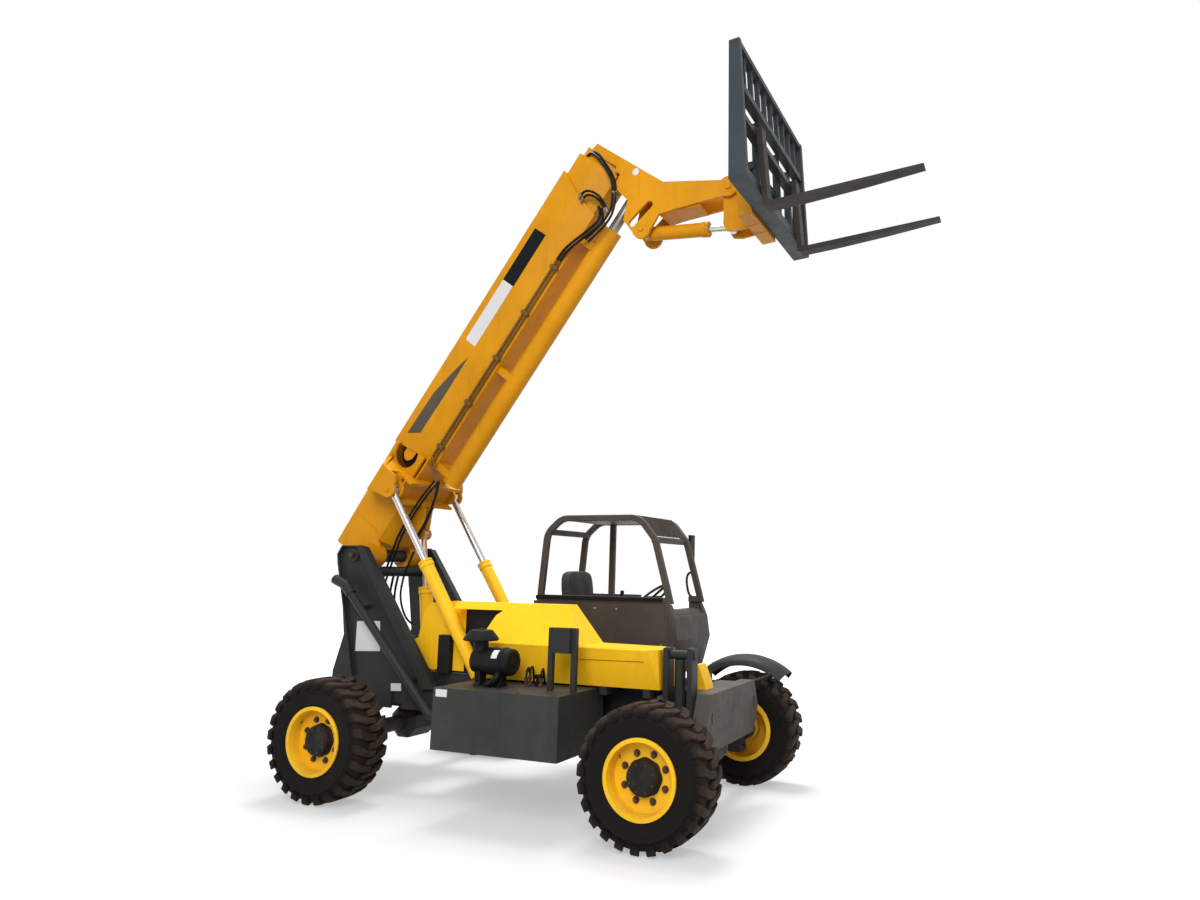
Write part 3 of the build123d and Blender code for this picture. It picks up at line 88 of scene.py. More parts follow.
# ---------------- material helpers
class Shader:
    """A node tree under construction, with one Principled surface."""

    def __init__(self, name):
        self.material = bpy.data.materials.new(name)
        self.material.use_nodes = True
        self.tree = self.material.node_tree
        self.surface = self.tree.nodes["Principled BSDF"]
        self.coords = self.tree.nodes.new("ShaderNodeTexCoord")

    def shine(self, level):
        """How strongly the surface mirrors."""
        self.surface.inputs["Specular IOR Level"].default_value = level

    def node(self, kind, links=(), **values):
        made = self.tree.nodes.new("ShaderNode" + kind)
        for key, value in values.items():
            setattr(made, key, value)
        for key, value in dict(links).items():
            self.put(value, made.inputs[key])
        return made

    def put(self, value, socket):
        if isinstance(value, bpy.types.NodeSocket):
            self.tree.links.new(value, socket)
        elif isinstance(value, tuple) and len(value) == 3 and socket.type == "RGBA":
            socket.default_value = (*value, 1)
        else:
            socket.default_value = value

    def noise(self, scale, detail=4, rough=0.55, stretch=None):
        place = self.coords.outputs["Object"]
        if stretch:
            mapping = self.node("Mapping", {"Vector": place, "Scale": stretch})
            place = mapping.outputs["Vector"]
        made = self.node("TexNoise", {"Vector": place, "Scale": scale, "Detail": detail, "Roughness": rough})
        return made.outputs["Fac"]

    def ramp(self, value, low, high, out_low=0.0, out_high=1.0):
        made = self.node(
            "MapRange",
            {"Value": value, "From Min": low, "From Max": high, "To Min": out_low, "To Max": out_high},
        )
        return made.outputs["Result"]

    def math(self, operation, first, second=0.0):
        made = self.node("Math", {0: first, 1: second}, operation=operation)
        return made.outputs["Value"]

    def mix(self, share, first, second):
        made = self.node("Mix", data_type="RGBA")
        self.put(share, made.inputs["Factor"])
        self.put(first, made.inputs["A"])
        self.put(second, made.inputs["B"])
        return made.outputs["Result"]

    def edges(self, radius):
        """1 on sharp edges, 0 on flats."""
        bevel = self.node("Bevel", {"Radius": radius}, samples=4)
        geometry = self.node("NewGeometry")
        normals = {0: bevel.outputs["Normal"], 1: geometry.outputs["Normal"]}
        dot = self.node("VectorMath", normals, operation="DOT_PRODUCT")
        return self.ramp(dot.outputs["Value"], 0.995, 0.90)

    def bump(self, height, strength, distance, radius=0.0):
        made = self.node("Bump", {"Height": height, "Strength": strength, "Distance": distance})
        if radius:
            bevel = self.node("Bevel", {"Radius": radius}, samples=4)
            self.put(bevel.outputs["Normal"], made.inputs["Normal"])
        self.put(made.outputs["Normal"], self.surface.inputs["Normal"])


CHIP_EDGE = 0.006  # how far chips reach in from an edge
DUST_FROM, DUST_FULL = 1.1, 0.25  # heights between which dust thickens


def painted(name, colour, rough=0.38, fade=0.12, dust=0.35, wear=0.5, under=RUST, shine=0.16):
    """Painted plate: faded patches, dust on top faces and low down, chipped edges, fine scratches."""
    shader = Shader(name)
    shader.shine(shine)
    patch = shader.noise(1.7, 5, 0.6)
    dark = tuple(channel * (1 - fade) for channel in colour)
    light = tuple(min(1, channel * (1 + fade) + 0.012 * fade) for channel in colour)
    base = shader.mix(shader.ramp(patch, 0.35, 0.65), dark, light)
    # grime runs down the plate
    streak = shader.ramp(shader.noise(5, 3, 0.6, (2.6, 2.6, 0.35)), 0.56, 0.78, 0, 0.4)
    base = shader.mix(streak, base, tuple(channel * 0.62 for channel in colour))
    # dust settles on top faces and near the ground
    split = shader.node("SeparateXYZ", {"Vector": shader.coords.outputs["Object"]})
    facing = shader.node("SeparateXYZ", {"Vector": shader.coords.outputs["Normal"]})
    top = shader.ramp(facing.outputs["Z"], 0.6, 1.0, 0, 0.5)
    low = shader.ramp(split.outputs["Z"], DUST_FROM, DUST_FULL)
    cloud = shader.ramp(shader.noise(6.5, 6, 0.65), 0.38, 0.70)
    settled = shader.math("MULTIPLY", shader.math("ADD", top, low), cloud)
    settled = shader.math("MULTIPLY", settled, dust)
    base = shader.mix(shader.math("MINIMUM", settled, 0.8), base, DUST)
    # chips along edges show what is under the paint
    edge = shader.edges(CHIP_EDGE)
    chip = shader.math("MULTIPLY", edge, shader.ramp(shader.noise(38, 4, 0.7), 0.50, 0.60, 0, wear))
    base = shader.mix(chip, base, under)
    # fine scratches
    scratch = shader.ramp(shader.noise(24, 2, 0.5, (0.25, 1, 3.5)), 0.70, 0.76, 0, 0.35 * wear)
    base = shader.mix(scratch, base, tuple(min(1, channel * 1.35 + 0.01) for channel in colour))
    shader.put(base, shader.surface.inputs["Base Color"])
    gloss = shader.ramp(shader.noise(9, 5, 0.7), 0.3, 0.7, rough - 0.07, rough + 0.12)
    gloss = shader.math("ADD", gloss, shader.math("MULTIPLY", settled, 0.5))
    shader.put(gloss, shader.surface.inputs["Roughness"])
    shader.bump(shader.noise(60, 3, 0.5), 0.12, 0.002, radius=0.005)
    return shader.material


def rubber(name, dust, dusty_from):
    """Tyre rubber, dusted outwards from a radius about its own origin's Y axis."""
    shader = Shader(name)
    shader.shine(0.08)
    split = shader.node("SeparateXYZ", {"Vector": shader.coords.outputs["Object"]})
    square = shader.math("POWER", split.outputs["X"], 2.0)
    square = shader.math("ADD", square, shader.math("POWER", split.outputs["Z"], 2.0))
    radius = shader.math("SQRT", square)
    outer = shader.ramp(radius, dusty_from, dusty_from + 0.07, 0.04, 1)
    cloud = shader.ramp(shader.noise(11, 6, 0.7), 0.30, 0.72, 0.15, 1)
    share = shader.math("MULTIPLY", shader.math("MULTIPLY", outer, cloud), dust)
    base = shader.mix(share, RUBBER, TREAD_DUST)
    shader.put(base, shader.surface.inputs["Base Color"])
    shader.put(shader.ramp(cloud, 0, 1, 0.52, 0.82), shader.surface.inputs["Roughness"])
    shader.bump(shader.noise(90, 5, 0.7), 0.35, 0.002)
    return shader.material


def metal(name, colour, rough=0.25, metallic=1.0, tarnish=0.25, under=RUST, grain=0.08):
    """Bare or plated steel with tarnish."""
    shader = Shader(name)
    cloud = shader.ramp(shader.noise(14, 6, 0.7), 0.5, 0.75, 0, tarnish)
    shader.put(shader.mix(cloud, colour, under), shader.surface.inputs["Base Color"])
    shader.surface.inputs["Metallic"].default_value = metallic
    gloss = shader.ramp(shader.noise(30, 4, 0.6), 0.3, 0.7, rough - 0.06, rough + 0.1)
    shader.put(gloss, shader.surface.inputs["Roughness"])
    if grain:
        shader.bump(shader.noise(110, 3, 0.6), grain, 0.001, radius=0.003)
    return shader.material


SPREAD = 0.15  # how much a plain finish varies to each side of its colour


def plain(name, colour, rough=0.5, grain=80, strength=0.15):
    """Moulded plastic, vinyl or hose rubber with a slight grain."""
    shader = Shader(name)
    shader.shine(0.10)
    light = tuple(min(1, channel * (1 + SPREAD) + 0.01 * SPREAD) for channel in colour)
    dark = tuple(channel * (1 - SPREAD) for channel in colour)
    base = shader.mix(shader.ramp(shader.noise(7, 5), 0.35, 0.65), dark, light)
    shader.put(base, shader.surface.inputs["Base Color"])
    gloss = shader.ramp(shader.noise(16, 4), 0.3, 0.7, rough - 0.06, rough + 0.08)
    shader.put(gloss, shader.surface.inputs["Roughness"])
    shader.bump(shader.noise(grain, 4, 0.6), strength, 0.001, radius=0.002)
    return shader.material


boom_paint = painted("boom_paint", BOOM_YELLOW, dust=0.12, wear=0.35, fade=0.10)
body_paint = painted("body_paint", BODY_YELLOW, dust=0.15, wear=0.35, fade=0.08)
rim_paint = painted("rim_paint", BODY_YELLOW, rough=0.42, dust=0.20, wear=0.4)
grey_paint = painted("grey_paint", CHASSIS_GREY, rough=0.45, dust=0.14)
tank_paint = painted("tank_paint", TANK_GREY, rough=0.42, dust=0.10, wear=0.4)
cab_paint = painted("cab_paint", CAB_BROWN, rough=0.48, dust=0.15, fade=0.2)
body_shadow = painted("body_shadow", SEAM_SHADE_BROWN, rough=0.6, dust=0.05, wear=0.0)
fender_paint = painted("fender_paint", FENDER_GREY, rough=0.5, dust=0.05, wear=0.3)
carriage_paint = painted("carriage_paint", CARRIAGE_BLUE, rough=0.42, dust=0.10, wear=0.6)
fork_steel = painted("fork_steel", FORK_BROWN, rough=0.5, dust=0.10, wear=0.9, fade=0.25)
black_paint = painted("black_paint", PAINT_BLACK, rough=0.42, dust=0.10, wear=0.3, under=BARE_STEEL, shine=0.10)
chrome = metal("chrome", CHROME, rough=0.24, tarnish=0.08, grain=0.0)
rusty_rod = metal("rusty_rod", ROD_BROWN, rough=0.4, tarnish=0.8)
bare_steel = metal("bare_steel", BARE_STEEL, rough=0.38, tarnish=0.5)
hose_rubber = plain("hose_rubber", HOSE_BLACK, rough=0.45)
seat_vinyl = plain("seat_vinyl", SEAT_BLACK, rough=0.5, grain=220, strength=0.3)
tyre_rubber = rubber("tyre_rubber", dust=0.85, dusty_from=0.435)
black_plastic = plain("black_plastic", PLASTIC_BLACK, rough=0.42)
hub_black = painted("hub_black", HUB_BLACK, rough=0.42, dust=0.08, shine=0.10)
fitting_steel = metal("fitting_steel", FITTING_BROWN, rough=0.45, metallic=0.8, tarnish=0.6)
dull_rod = metal("dull_rod", DULL_STEEL, rough=0.34, tarnish=0.35)
rusty_iron = metal("rusty_iron", IRON_BROWN, rough=0.55, metallic=0.6, tarnish=0.7)
boom_pipe_steel = painted("boom_pipe_steel", PIPE_BROWN, rough=0.4, dust=0.2, wear=0.8, under=PIPE_STEEL)
decal_white = painted("decal_white", LABEL_WHITE, rough=0.35, dust=0.15, wear=0.1, fade=0.05, under=DUST)
decal_black = painted("decal_black", LABEL_BLACK, rough=0.45, dust=0.03, wear=0.1, fade=0.05, under=DUST, shine=0.08)
decal_grey = painted("decal_grey", LABEL_GREY, rough=0.38, dust=0.2, wear=0.2, fade=0.1, under=DUST)

NODE_FINISH = (
    # material, the starts of its nodes' names; what is left over takes the last
    (boom_paint, ("boom_", "extension_barrel", "tilt_barrel", "quick_attach")),
    (body_paint, ("lift_barrel", "slave_barrel", "hood")),
    (black_paint, ("chain_wheels", "valve_box", "air_cleaner", "steering_column", "mirror")),
    (cab_paint, ("cab_", "roof_grille", "front_box", "fender")),
    (dull_rod, ("extension_rod",)),
    (chrome, ("lift_rod", "tilt_rod")),
    (rusty_rod, ("slave_rod",)),
    (carriage_paint, ("carriage",)),
    (fork_steel, ("forks",)),
    (rim_paint, ("rim_",)),
    (tyre_rubber, ("tyre_",)),
    (tank_paint, ("tank",)),
    (seat_vinyl, ("seat",)),
    (grey_paint, ("",)),
)

for name, piece in nodes.items():
    piece.data.materials.clear()
    piece.data.materials.append(next(material for material, starts in NODE_FINISH if name.startswith(starts)))

# ---------------- places taken from the frame
joint_of = {joint["name"]: joint for joint in frame["joints"]}
boom_pivot = Vector(joint_of["boom_lift"]["pos_m"])
boom_along = Vector(joint_of["boom_extend"]["axis"]).normalized()
boom_up = Vector((-boom_along.z, 0, boom_along.x))
X_AXIS, Y_AXIS, Z_AXIS = (1, 0, 0), (0, 1, 0), (0, 0, 1)
TO_RIGHT = Vector((0, -1, 0))
PIVOT_BEHIND_MID = 1.867
MID_X = boom_pivot.x + PIVOT_BEHIND_MID


def on_boom(along, up, across=0.0):
    """A point from its places along the boom, square to it, and towards +Y."""
    return boom_pivot + boom_along * along + boom_up * up + Vector((0, across, 0))


def from_mid(*places):
    """Points from their places, with x counted from mid wheelbase."""
    return [Vector((MID_X + x, y, z)) for x, y, z in places]


def slotted(piece):
    """Gives the piece back unchanged."""
    return piece


# ---------------- mesh helpers
def make_piece(name, points, faces, material, body="chassis", sharp=30, place=(0, 0, 0), bevel=0.0):
    """A mesh piece that rides on a body; faces keep their edges where they turn by more than sharp degrees."""
    mesh = bpy.data.meshes.new(name)
    mesh.from_pydata([tuple(point) for point in points], [], faces)
    mesh.validate()
    shaper = bmesh.new()
    shaper.from_mesh(mesh)
    bmesh.ops.recalc_face_normals(shaper, faces=shaper.faces)
    shaper.to_mesh(mesh)
    shaper.free()
    mesh.polygons.foreach_set("use_smooth", [True] * len(mesh.polygons))
    mesh.set_sharp_from_angle(angle=math.radians(sharp))
    mesh.materials.append(material)
    piece = bpy.data.objects.new(name, mesh)
    piece.location = place
    bpy.context.scene.collection.objects.link(piece)
    if bevel:
        rounding = piece.modifiers.new("edges", "BEVEL")
        rounding.width = bevel
        rounding.segments = 2
        rounding.limit_method = "ANGLE"
        rounding.angle_limit = math.radians(30)
        rounding.harden_normals = False
    return slotted(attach(piece, body))


def sheet(rows, width, ring_rows=False, ring_width=False):
    """Faces of a grid of points given row by row; a ring joins its last to its first."""
    faces = []
    for row in range(rows if ring_rows else rows - 1):
        here, after = row * width, (row + 1) % rows * width
        for index in range(width if ring_width else width - 1):
            follow = (index + 1) % width
            faces.append((here + index, here + follow, after + follow, after + index))
    return faces


def lathe(profile, steps, lobes=0, lobe_from=0.0, lobe_depth=0.0):
    """Points and faces turned about Y from (radius, outward) pairs; lobes scallop the wider rings."""
    points = []
    for step in range(steps):
        turn = 2 * math.pi * step / steps
        for radius, outward in profile:
            if lobes and radius >= lobe_from:
                radius = radius + lobe_depth * math.cos(lobes * turn)
            points.append((radius * math.cos(turn), outward, radius * math.sin(turn)))
    return points, sheet(steps, len(profile), ring_rows=True)


def prism(outline, origin, x_dir, y_dir, thick):
    """Points and faces of a plate from its outline, raised by thick along x_dir cross y_dir."""
    origin, x_dir, y_dir = Vector(origin), Vector(x_dir).normalized(), Vector(y_dir).normalized()
    lift = x_dir.cross(y_dir) * thick
    base = [origin + x_dir * x + y_dir * y for x, y in outline]
    points = base + [point + lift for point in base]
    count = len(outline)
    faces = [tuple(range(count))[::-1], tuple(range(count, 2 * count))]
    for index in range(count):
        after = (index + 1) % count
        faces.append((index, after, count + after, count + index))
    return points, faces


def turned(profile, place, order, *how):
    """A lathe shape at a place, with its axes taken in another order."""
    points, faces = lathe(profile, *how)
    return [Vector(place) + Vector(point[axis] for axis in order) for point in points], faces


UPRIGHT = (0, 2, 1)  # the lathe's axis along +Z
ALONG_X = (1, 0, 2)  # the lathe's axis along +X


def side_plate(outline, face_y, thick):
    """A plate from its outline in x from mid wheelbase and z, raised to the right from its left face."""
    return prism(outline, (MID_X, face_y, 0), X_AXIS, Z_AXIS, thick)


CORNER_STEPS = 4


def rounded(width, height, radius, centre=(0, 0)):
    """Outline of a rounded rectangle."""
    outline = []
    for turn, sign_x, sign_y in ((0, 1, 1), (90, -1, 1), (180, -1, -1), (270, 1, -1)):
        middle_x = centre[0] + sign_x * (width / 2 - radius)
        middle_y = centre[1] + sign_y * (height / 2 - radius)
        for step in range(CORNER_STEPS + 1):
            angle = math.radians(turn + 90 * step / CORNER_STEPS)
            outline.append((middle_x + radius * math.cos(angle), middle_y + radius * math.sin(angle)))
    return outline


def polygon(radius, sides, turn=0.0, centre=(0, 0)):
    """Outline of a regular polygon."""
    angles = [turn + 2 * math.pi * corner / sides for corner in range(sides)]
    return [(centre[0] + radius * math.cos(angle), centre[1] + radius * math.sin(angle)) for angle in angles]


def merge(*parts):
    """Points and faces of several shapes as one."""
    points, faces = [], []
    for part_points, part_faces in parts:
        base = len(points)
        points += list(part_points)
        faces += [tuple(base + corner for corner in face) for face in part_faces]
    return points, faces


def square_axes(axis):
    """Two directions square to an axis and to each other."""
    axis = Vector(axis).normalized()
    side = axis.cross(Vector(Z_AXIS if abs(axis.z) < 0.9 else X_AXIS)).normalized()
    return side, axis.cross(side)


WASHER_SIZE, WASHER_HEIGHT = 1.55, 0.25  # shares of the head's size and height
TIP_SIZE, TIP_HEIGHT = 0.5, 0.35


def bolt(place, axis, size, height, washer=True):
    """A hexagon head with a round tip, and with a washer under it where asked for."""
    x_dir, y_dir = square_axes(axis)
    if x_dir.cross(y_dir).dot(Vector(axis)) < 0:
        x_dir, y_dir = y_dir, x_dir
    place = Vector(place)
    out = Vector(axis).normalized()
    seat = height * WASHER_HEIGHT
    parts = []
    if washer:
        parts.append(prism(polygon(size * WASHER_SIZE, 16), place, x_dir, y_dir, seat))
    parts.append(prism(polygon(size, 6, 0.3), place + out * seat, x_dir, y_dir, height))
    tip = place + out * (seat + height)
    parts.append(prism(polygon(size * TIP_SIZE, 12), tip, x_dir, y_dir, height * TIP_HEIGHT))
    return merge(*parts)


def hose(name, points, radius, material, body="chassis", smooth=True):
    """A hose or pipe along a line of points."""
    data = bpy.data.curves.new(name, "CURVE")
    data.dimensions = "3D"
    data.bevel_depth = radius
    data.bevel_resolution = 4
    data.resolution_u = 10
    data.use_fill_caps = True
    line = data.splines.new("NURBS" if smooth else "POLY")
    line.points.add(len(points) - 1)
    for spot, point in zip(line.points, points):
        spot.co = (*point, 1)
    if smooth:
        line.order_u = 3
        line.use_endpoint_u = True
    data.materials.append(material)
    piece = bpy.data.objects.new(name, data)
    bpy.context.scene.collection.objects.link(piece)
    return slotted(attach(piece, body))


# ---------------- tyres, hub caps, nuts and valves
TYRE_PROFILE = (
    # radius, outward, over one half of the section
    (0.2475, 0.1480), (0.2620, 0.1510), (0.2830, 0.1530), (0.3000, 0.1580), (0.3250, 0.1660), (0.3500, 0.1700),
    (0.3720, 0.1712), (0.3830, 0.1714), (0.3870, 0.1740), (0.3970, 0.1740), (0.4010, 0.1705), (0.4250, 0.1650),
    (0.4420, 0.1570), (0.4550, 0.1440), (0.4610, 0.1200), (0.4630, 0.0600),
)
TYRE_CROWN = 0.4635
LUGS = 24
LUG_STATIONS = (
    # outward, lag round the tyre, half width, top radius, root radius
    (0.1765, 0.050, 0.029, 0.4440, 0.415),
    (0.1745, 0.048, 0.032, 0.4610, 0.425),
    (0.1660, 0.045, 0.034, 0.4775, 0.430),
    (0.1500, 0.040, 0.034, 0.4868, 0.440),
    (0.1180, 0.024, 0.031, 0.4898, 0.455),
    (0.0900, 0.010, 0.029, 0.4910, 0.460),
    (0.0700, -0.002, 0.027, 0.4915, 0.460),
    (0.0200, -0.010, 0.026, 0.4919, 0.460),
    (-0.0300, -0.014, 0.024, 0.4912, 0.460),
)
LUG_FLARE = 0.006  # how much further a lug reaches at its root
LUG_EDGE = 0.004  # the chamfer along its top
LAG_RADIUS = 0.48  # where lags and widths are measured


def tyre_shape(lead):
    """Carcass and two rows of interleaved lugs about Y; lead says which way the lugs point."""
    section = [*TYRE_PROFILE, (TYRE_CROWN, 0.0)]
    section += [(radius, -outward) for radius, outward in reversed(TYRE_PROFILE)]
    parts = [lathe(section, 96)]
    for side in (1, -1):
        for index in range(LUGS):
            start = 2 * math.pi * (index + (0.5 if side < 0 else 0)) / LUGS
            points = []
            for outward, lag, half, top, root in LUG_STATIONS:
                rings = (
                    (-half - LUG_FLARE, root), (-half, top - LUG_EDGE), (-half + LUG_EDGE, top),
                    (half - LUG_EDGE, top), (half, top - LUG_EDGE), (half + LUG_FLARE, root),
                )
                for along, radius in rings:
                    turn = start + lead * (along - lag) / LAG_RADIUS
                    points.append((radius * math.cos(turn), side * outward, radius * math.sin(turn)))
            ends = [tuple(range(6)), tuple(range(len(points) - 6, len(points)))]
            parts.append((points, sheet(len(LUG_STATIONS), 6) + ends))
    return merge(*parts)


HUB_SEAT, HUB_FACE = 0.0602, 0.1232
HUB_PROFILE = (
    # radius, outward
    (0.1290, HUB_SEAT), (0.1290, 0.0750), (0.1230, 0.0785), (0.1215, 0.1070), (0.1140, 0.1200), (0.1020, HUB_FACE),
    (0.0700, 0.1240), (0.0660, 0.1222), (0.0001, 0.1222),
)
HUB_LOBES = (8, 0.122, 0.0035)  # count, the radius they start from, depth
WHEEL_BOLTS = 8
NUT_CIRCLE, CAP_CIRCLE = 0.166, 0.094
VALVE_LINE = ((-0.224, 0.10), (-0.215, 0.115), (-0.200, 0.135))
VALVE_TURN = math.radians(38)

for wheel in ("front_left", "front_right", "rear_left", "rear_right"):
    low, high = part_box("tyre_" + wheel)
    middle = (low + high) / 2
    side = 1 if wheel.endswith("left") else -1
    body = "wheel_" + wheel
    tyre = make_piece("tread_" + wheel, *tyre_shape(side), tyre_rubber, body, sharp=38, place=middle)
    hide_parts("tyre_" + wheel)
    hub_cap = lathe([(radius, side * outward) for radius, outward in HUB_PROFILE], 96, *HUB_LOBES)
    make_piece("hub_cap_" + wheel, *hub_cap, hub_black, body, place=middle)
    out = Vector((0, side, 0))
    fasteners = []
    for index in range(WHEEL_BOLTS):
        turn = 2 * math.pi * (index + 0.5) / WHEEL_BOLTS
        spot = Vector((math.cos(turn), 0, math.sin(turn)))
        fasteners.append(bolt(spot * NUT_CIRCLE + out * HUB_SEAT, out, 0.0165, 0.018))
        fasteners.append(bolt(spot * CAP_CIRCLE + out * HUB_FACE, out, 0.008, 0.006, False))
    make_piece("wheel_nuts_" + wheel, *merge(*fasteners), rusty_iron, body, place=middle)
    valve = [
        middle + Vector((radius * math.cos(VALVE_TURN), side * outward, -radius * math.sin(VALVE_TURN)))
        for radius, outward in VALVE_LINE
    ]
    hose("valve_stem_" + wheel, valve, 0.004, black_plastic, body)

# ---------------- plates and labels, all blank
LABEL_THICK = 0.0012
BOOM_FACE = on_boom(0, 0, -0.2004)
TOWER_FACE, TANK_FACE, RAIL_FACE, JIB_FACE = -0.4602, -1.1754, -0.3802, -0.1404
boom_labels = (
    # name, material, outline along the boom and square to it
    ("boom_wedge", decal_grey,
     [(1.121, 0.452), (1.205, 0.322), (1.74, 0.314), (2.075, 0.319), (1.846, 0.383), (1.589, 0.44)]),
    ("boom_plate_white", decal_white, rounded(0.672, 0.14, 0.012, (2.524, 0.387))),
    ("boom_plate_black", decal_black, rounded(0.566, 0.146, 0.004, (3.143, 0.385))),
)
for name, material, outline in boom_labels:
    make_piece(name, *prism(outline, BOOM_FACE, boom_along, boom_up, LABEL_THICK), material, "boom")
side_labels = (
    # name, body, y of the face it is on, outline in x from mid wheelbase and z
    ("tower_plate", "chassis", TOWER_FACE, [(-1.783, 1.396), (-1.781, 1.129), (-1.494, 1.142), (-1.517, 1.405)]),
    ("tower_label", "chassis", TOWER_FACE, [(-1.35, 0.872), (-1.344, 0.806), (-1.231, 0.812), (-1.237, 0.879)]),
    ("tank_label", "chassis", TANK_FACE, rounded(0.105, 0.056, 0.004, (-0.233, 0.948))),
    ("rail_label", "chassis", RAIL_FACE, rounded(0.09, 0.058, 0.004, (1.245, 0.925))),
    ("boom_head_mark", "boom_head", JIB_FACE, polygon(0.035, 20, centre=(0.77, 5.451))),
)
for name, body, face_y, outline in side_labels:
    make_piece(name, *side_plate(outline, face_y, LABEL_THICK), decal_white, body)


# ---------------- pipes and hoses
def boom_hose(name, places, radius, material=hose_rubber, body="boom"):
    """A hose or pipe through (along, up, across) places on the boom; gives its line back."""
    line = [on_boom(*place) for place in places]
    hose(name, line, radius, material, body)
    return line


# two pipes along the boom's right side, each with a hose at its upper end
for index, (rise, out) in enumerate(((0.053, -0.1535), (0.083, -0.164))):
    back, lift = 0.012 * index, 0.03 * index
    pipe = [(0.95 - back, -0.115, out + 0.006), (1.035 - back, rise - 0.022, out)]
    pipe += [(along, rise, out) for along in (1.085, 1.2, 2.25, 3.3)]
    bend = [
        (3.298, rise, out), (3.4, rise - 0.002, out - 0.006), (3.56, lift - 0.034, out - 0.03),
        (3.68, lift - 0.1, out - 0.045), (3.79, lift - 0.136, out - 0.04), (3.86, lift - 0.1, out - 0.02),
        (3.905, lift - 0.03, out - 0.012),
    ]
    boom_hose(f"boom_pipe_{index}", pipe, 0.0105, boom_pipe_steel)
    boom_hose(f"boom_pipe_hose_{index}", bend, 0.0125)

CLAMP_FIRST, CLAMP_STEP, CLAMP_UP = 1.22, 0.5, 0.068
CLAMP_BACK, CLAMP_THICK = -0.139, 0.04
for index in range(5):
    spot = CLAMP_FIRST + CLAMP_STEP * index
    outline = rounded(0.036, 0.078, 0.006, (spot, CLAMP_UP))
    clamp = prism(outline, on_boom(0, 0, CLAMP_BACK), boom_along, boom_up, CLAMP_THICK)
    screw = bolt(on_boom(spot, CLAMP_UP, CLAMP_BACK - CLAMP_THICK), TO_RIGHT, 0.007, 0.006, False)
    make_piece(f"pipe_clamp_{index}", *merge(clamp, screw), boom_pipe_steel, "boom", bevel=0.0015)

FERRULE_BACK, FERRULE_REACH, FERRULE_SHARE = 0.004, 0.045, 1.30
boom_hoses = (
    # name, body, radius, (along, up, across) places
    # looped over the boom's head, with a ferrule at each end
    ("head_hose_0", "boom_head", 0.012, (
        (4.215, 0.445, -0.13), (4.285, 0.42, -0.165), (4.29, 0.33, -0.185), (4.245, 0.18, -0.185),
        (4.19, 0.06, -0.18), (4.12, -0.02, -0.172), (4.06, -0.06, -0.15))),
    ("head_hose_1", "boom_head", 0.012, (
        (4.215, 0.455, -0.1), (4.312, 0.43, -0.135), (4.318, 0.33, -0.152), (4.262, 0.18, -0.155),
        (4.205, 0.05, -0.15), (4.13, -0.03, -0.142), (4.075, -0.07, -0.125))),
    ("head_hose_2", "boom", 0.012, (
        (3.88, 0.215, -0.195), (3.945, 0.205, -0.222), (3.99, 0.12, -0.226), (3.985, 0.01, -0.222),
        (3.945, -0.08, -0.212), (3.905, -0.135, -0.195))),
    ("head_hose_3", "boom", 0.012, (
        (3.86, 0.18, -0.19), (3.925, 0.172, -0.214), (3.962, 0.095, -0.215), (3.955, 0.0, -0.208),
        (3.925, -0.07, -0.196), (3.895, -0.11, -0.18))),
    # under the boom's foot
    ("base_hose_0", "boom", 0.012, (
        (0.95, -0.11, -0.142), (0.9, -0.155, -0.15), (0.8, -0.19, -0.15), (0.64, -0.215, -0.13),
        (0.48, -0.215, -0.1), (0.33, -0.2, -0.09))),
    ("base_hose_1", "boom", 0.012, (
        (0.938, -0.11, -0.152), (0.88, -0.17, -0.17), (0.78, -0.215, -0.172), (0.62, -0.245, -0.15),
        (0.47, -0.24, -0.12), (0.33, -0.225, -0.112))),
    # from the pipes' feet down the boom's right face
    ("foot_hose_0", "boom", 0.011, (
        (0.938, -0.128, -0.16), (0.862, -0.125, -0.185), (0.724, -0.137, -0.215), (0.579, -0.136, -0.225),
        (0.411, -0.127, -0.2), (0.302, -0.116, -0.17))),
    ("foot_hose_1", "boom", 0.011, (
        (0.932, -0.09, -0.17), (0.83, -0.094, -0.195), (0.68, -0.105, -0.225), (0.541, -0.111, -0.235),
        (0.412, -0.101, -0.215), (0.284, -0.093, -0.185))),
    # below the boom's head
    ("neck_hose_0", "boom", 0.011, (
        (4.09, -0.087, -0.185), (4.007, -0.161, -0.215), (3.906, -0.205, -0.22), (3.81, -0.198, -0.212),
        (3.702, -0.166, -0.2), (3.586, -0.117, -0.185))),
    ("neck_hose_1", "boom", 0.011, (
        (4.077, -0.044, -0.165), (3.997, -0.122, -0.195), (3.907, -0.16, -0.205), (3.817, -0.152, -0.2),
        (3.709, -0.121, -0.19), (3.592, -0.074, -0.178))),
)
for name, body, radius, places in boom_hoses:
    line = boom_hose(name, places, radius, body=body)
    if not name.startswith("head"):
        continue
    for end, after in ((0, 1), (-1, -2)):
        start = line[end]
        towards = (line[after] - start).normalized()
        ferrule = [start - towards * FERRULE_BACK, start + towards * FERRULE_REACH]
        hose(f"{name}_ferrule_{abs(end)}", ferrule, radius * FERRULE_SHARE, fitting_steel, body, smooth=False)

# down between the towers, on the chassis
for name, shift in (("tower_hose_0", 0.0), ("tower_hose_1", 0.055)):
    line = from_mid(
        (shift - 1.72, -0.1, 1.8), (shift - 1.745, -0.1, 1.7), (shift - 1.75, -0.1, 1.56),
        (shift - 1.715, -0.11, 1.42), (shift - 1.62, -0.13, 1.33), (shift * 0.6 - 1.48, -0.16, 1.29),
        (-1.33, -0.24, 1.27 - shift * 0.3), (-1.225, -0.317, 1.262 - shift * 0.3),
    )
    hose(name, line, 0.011, hose_rubber)
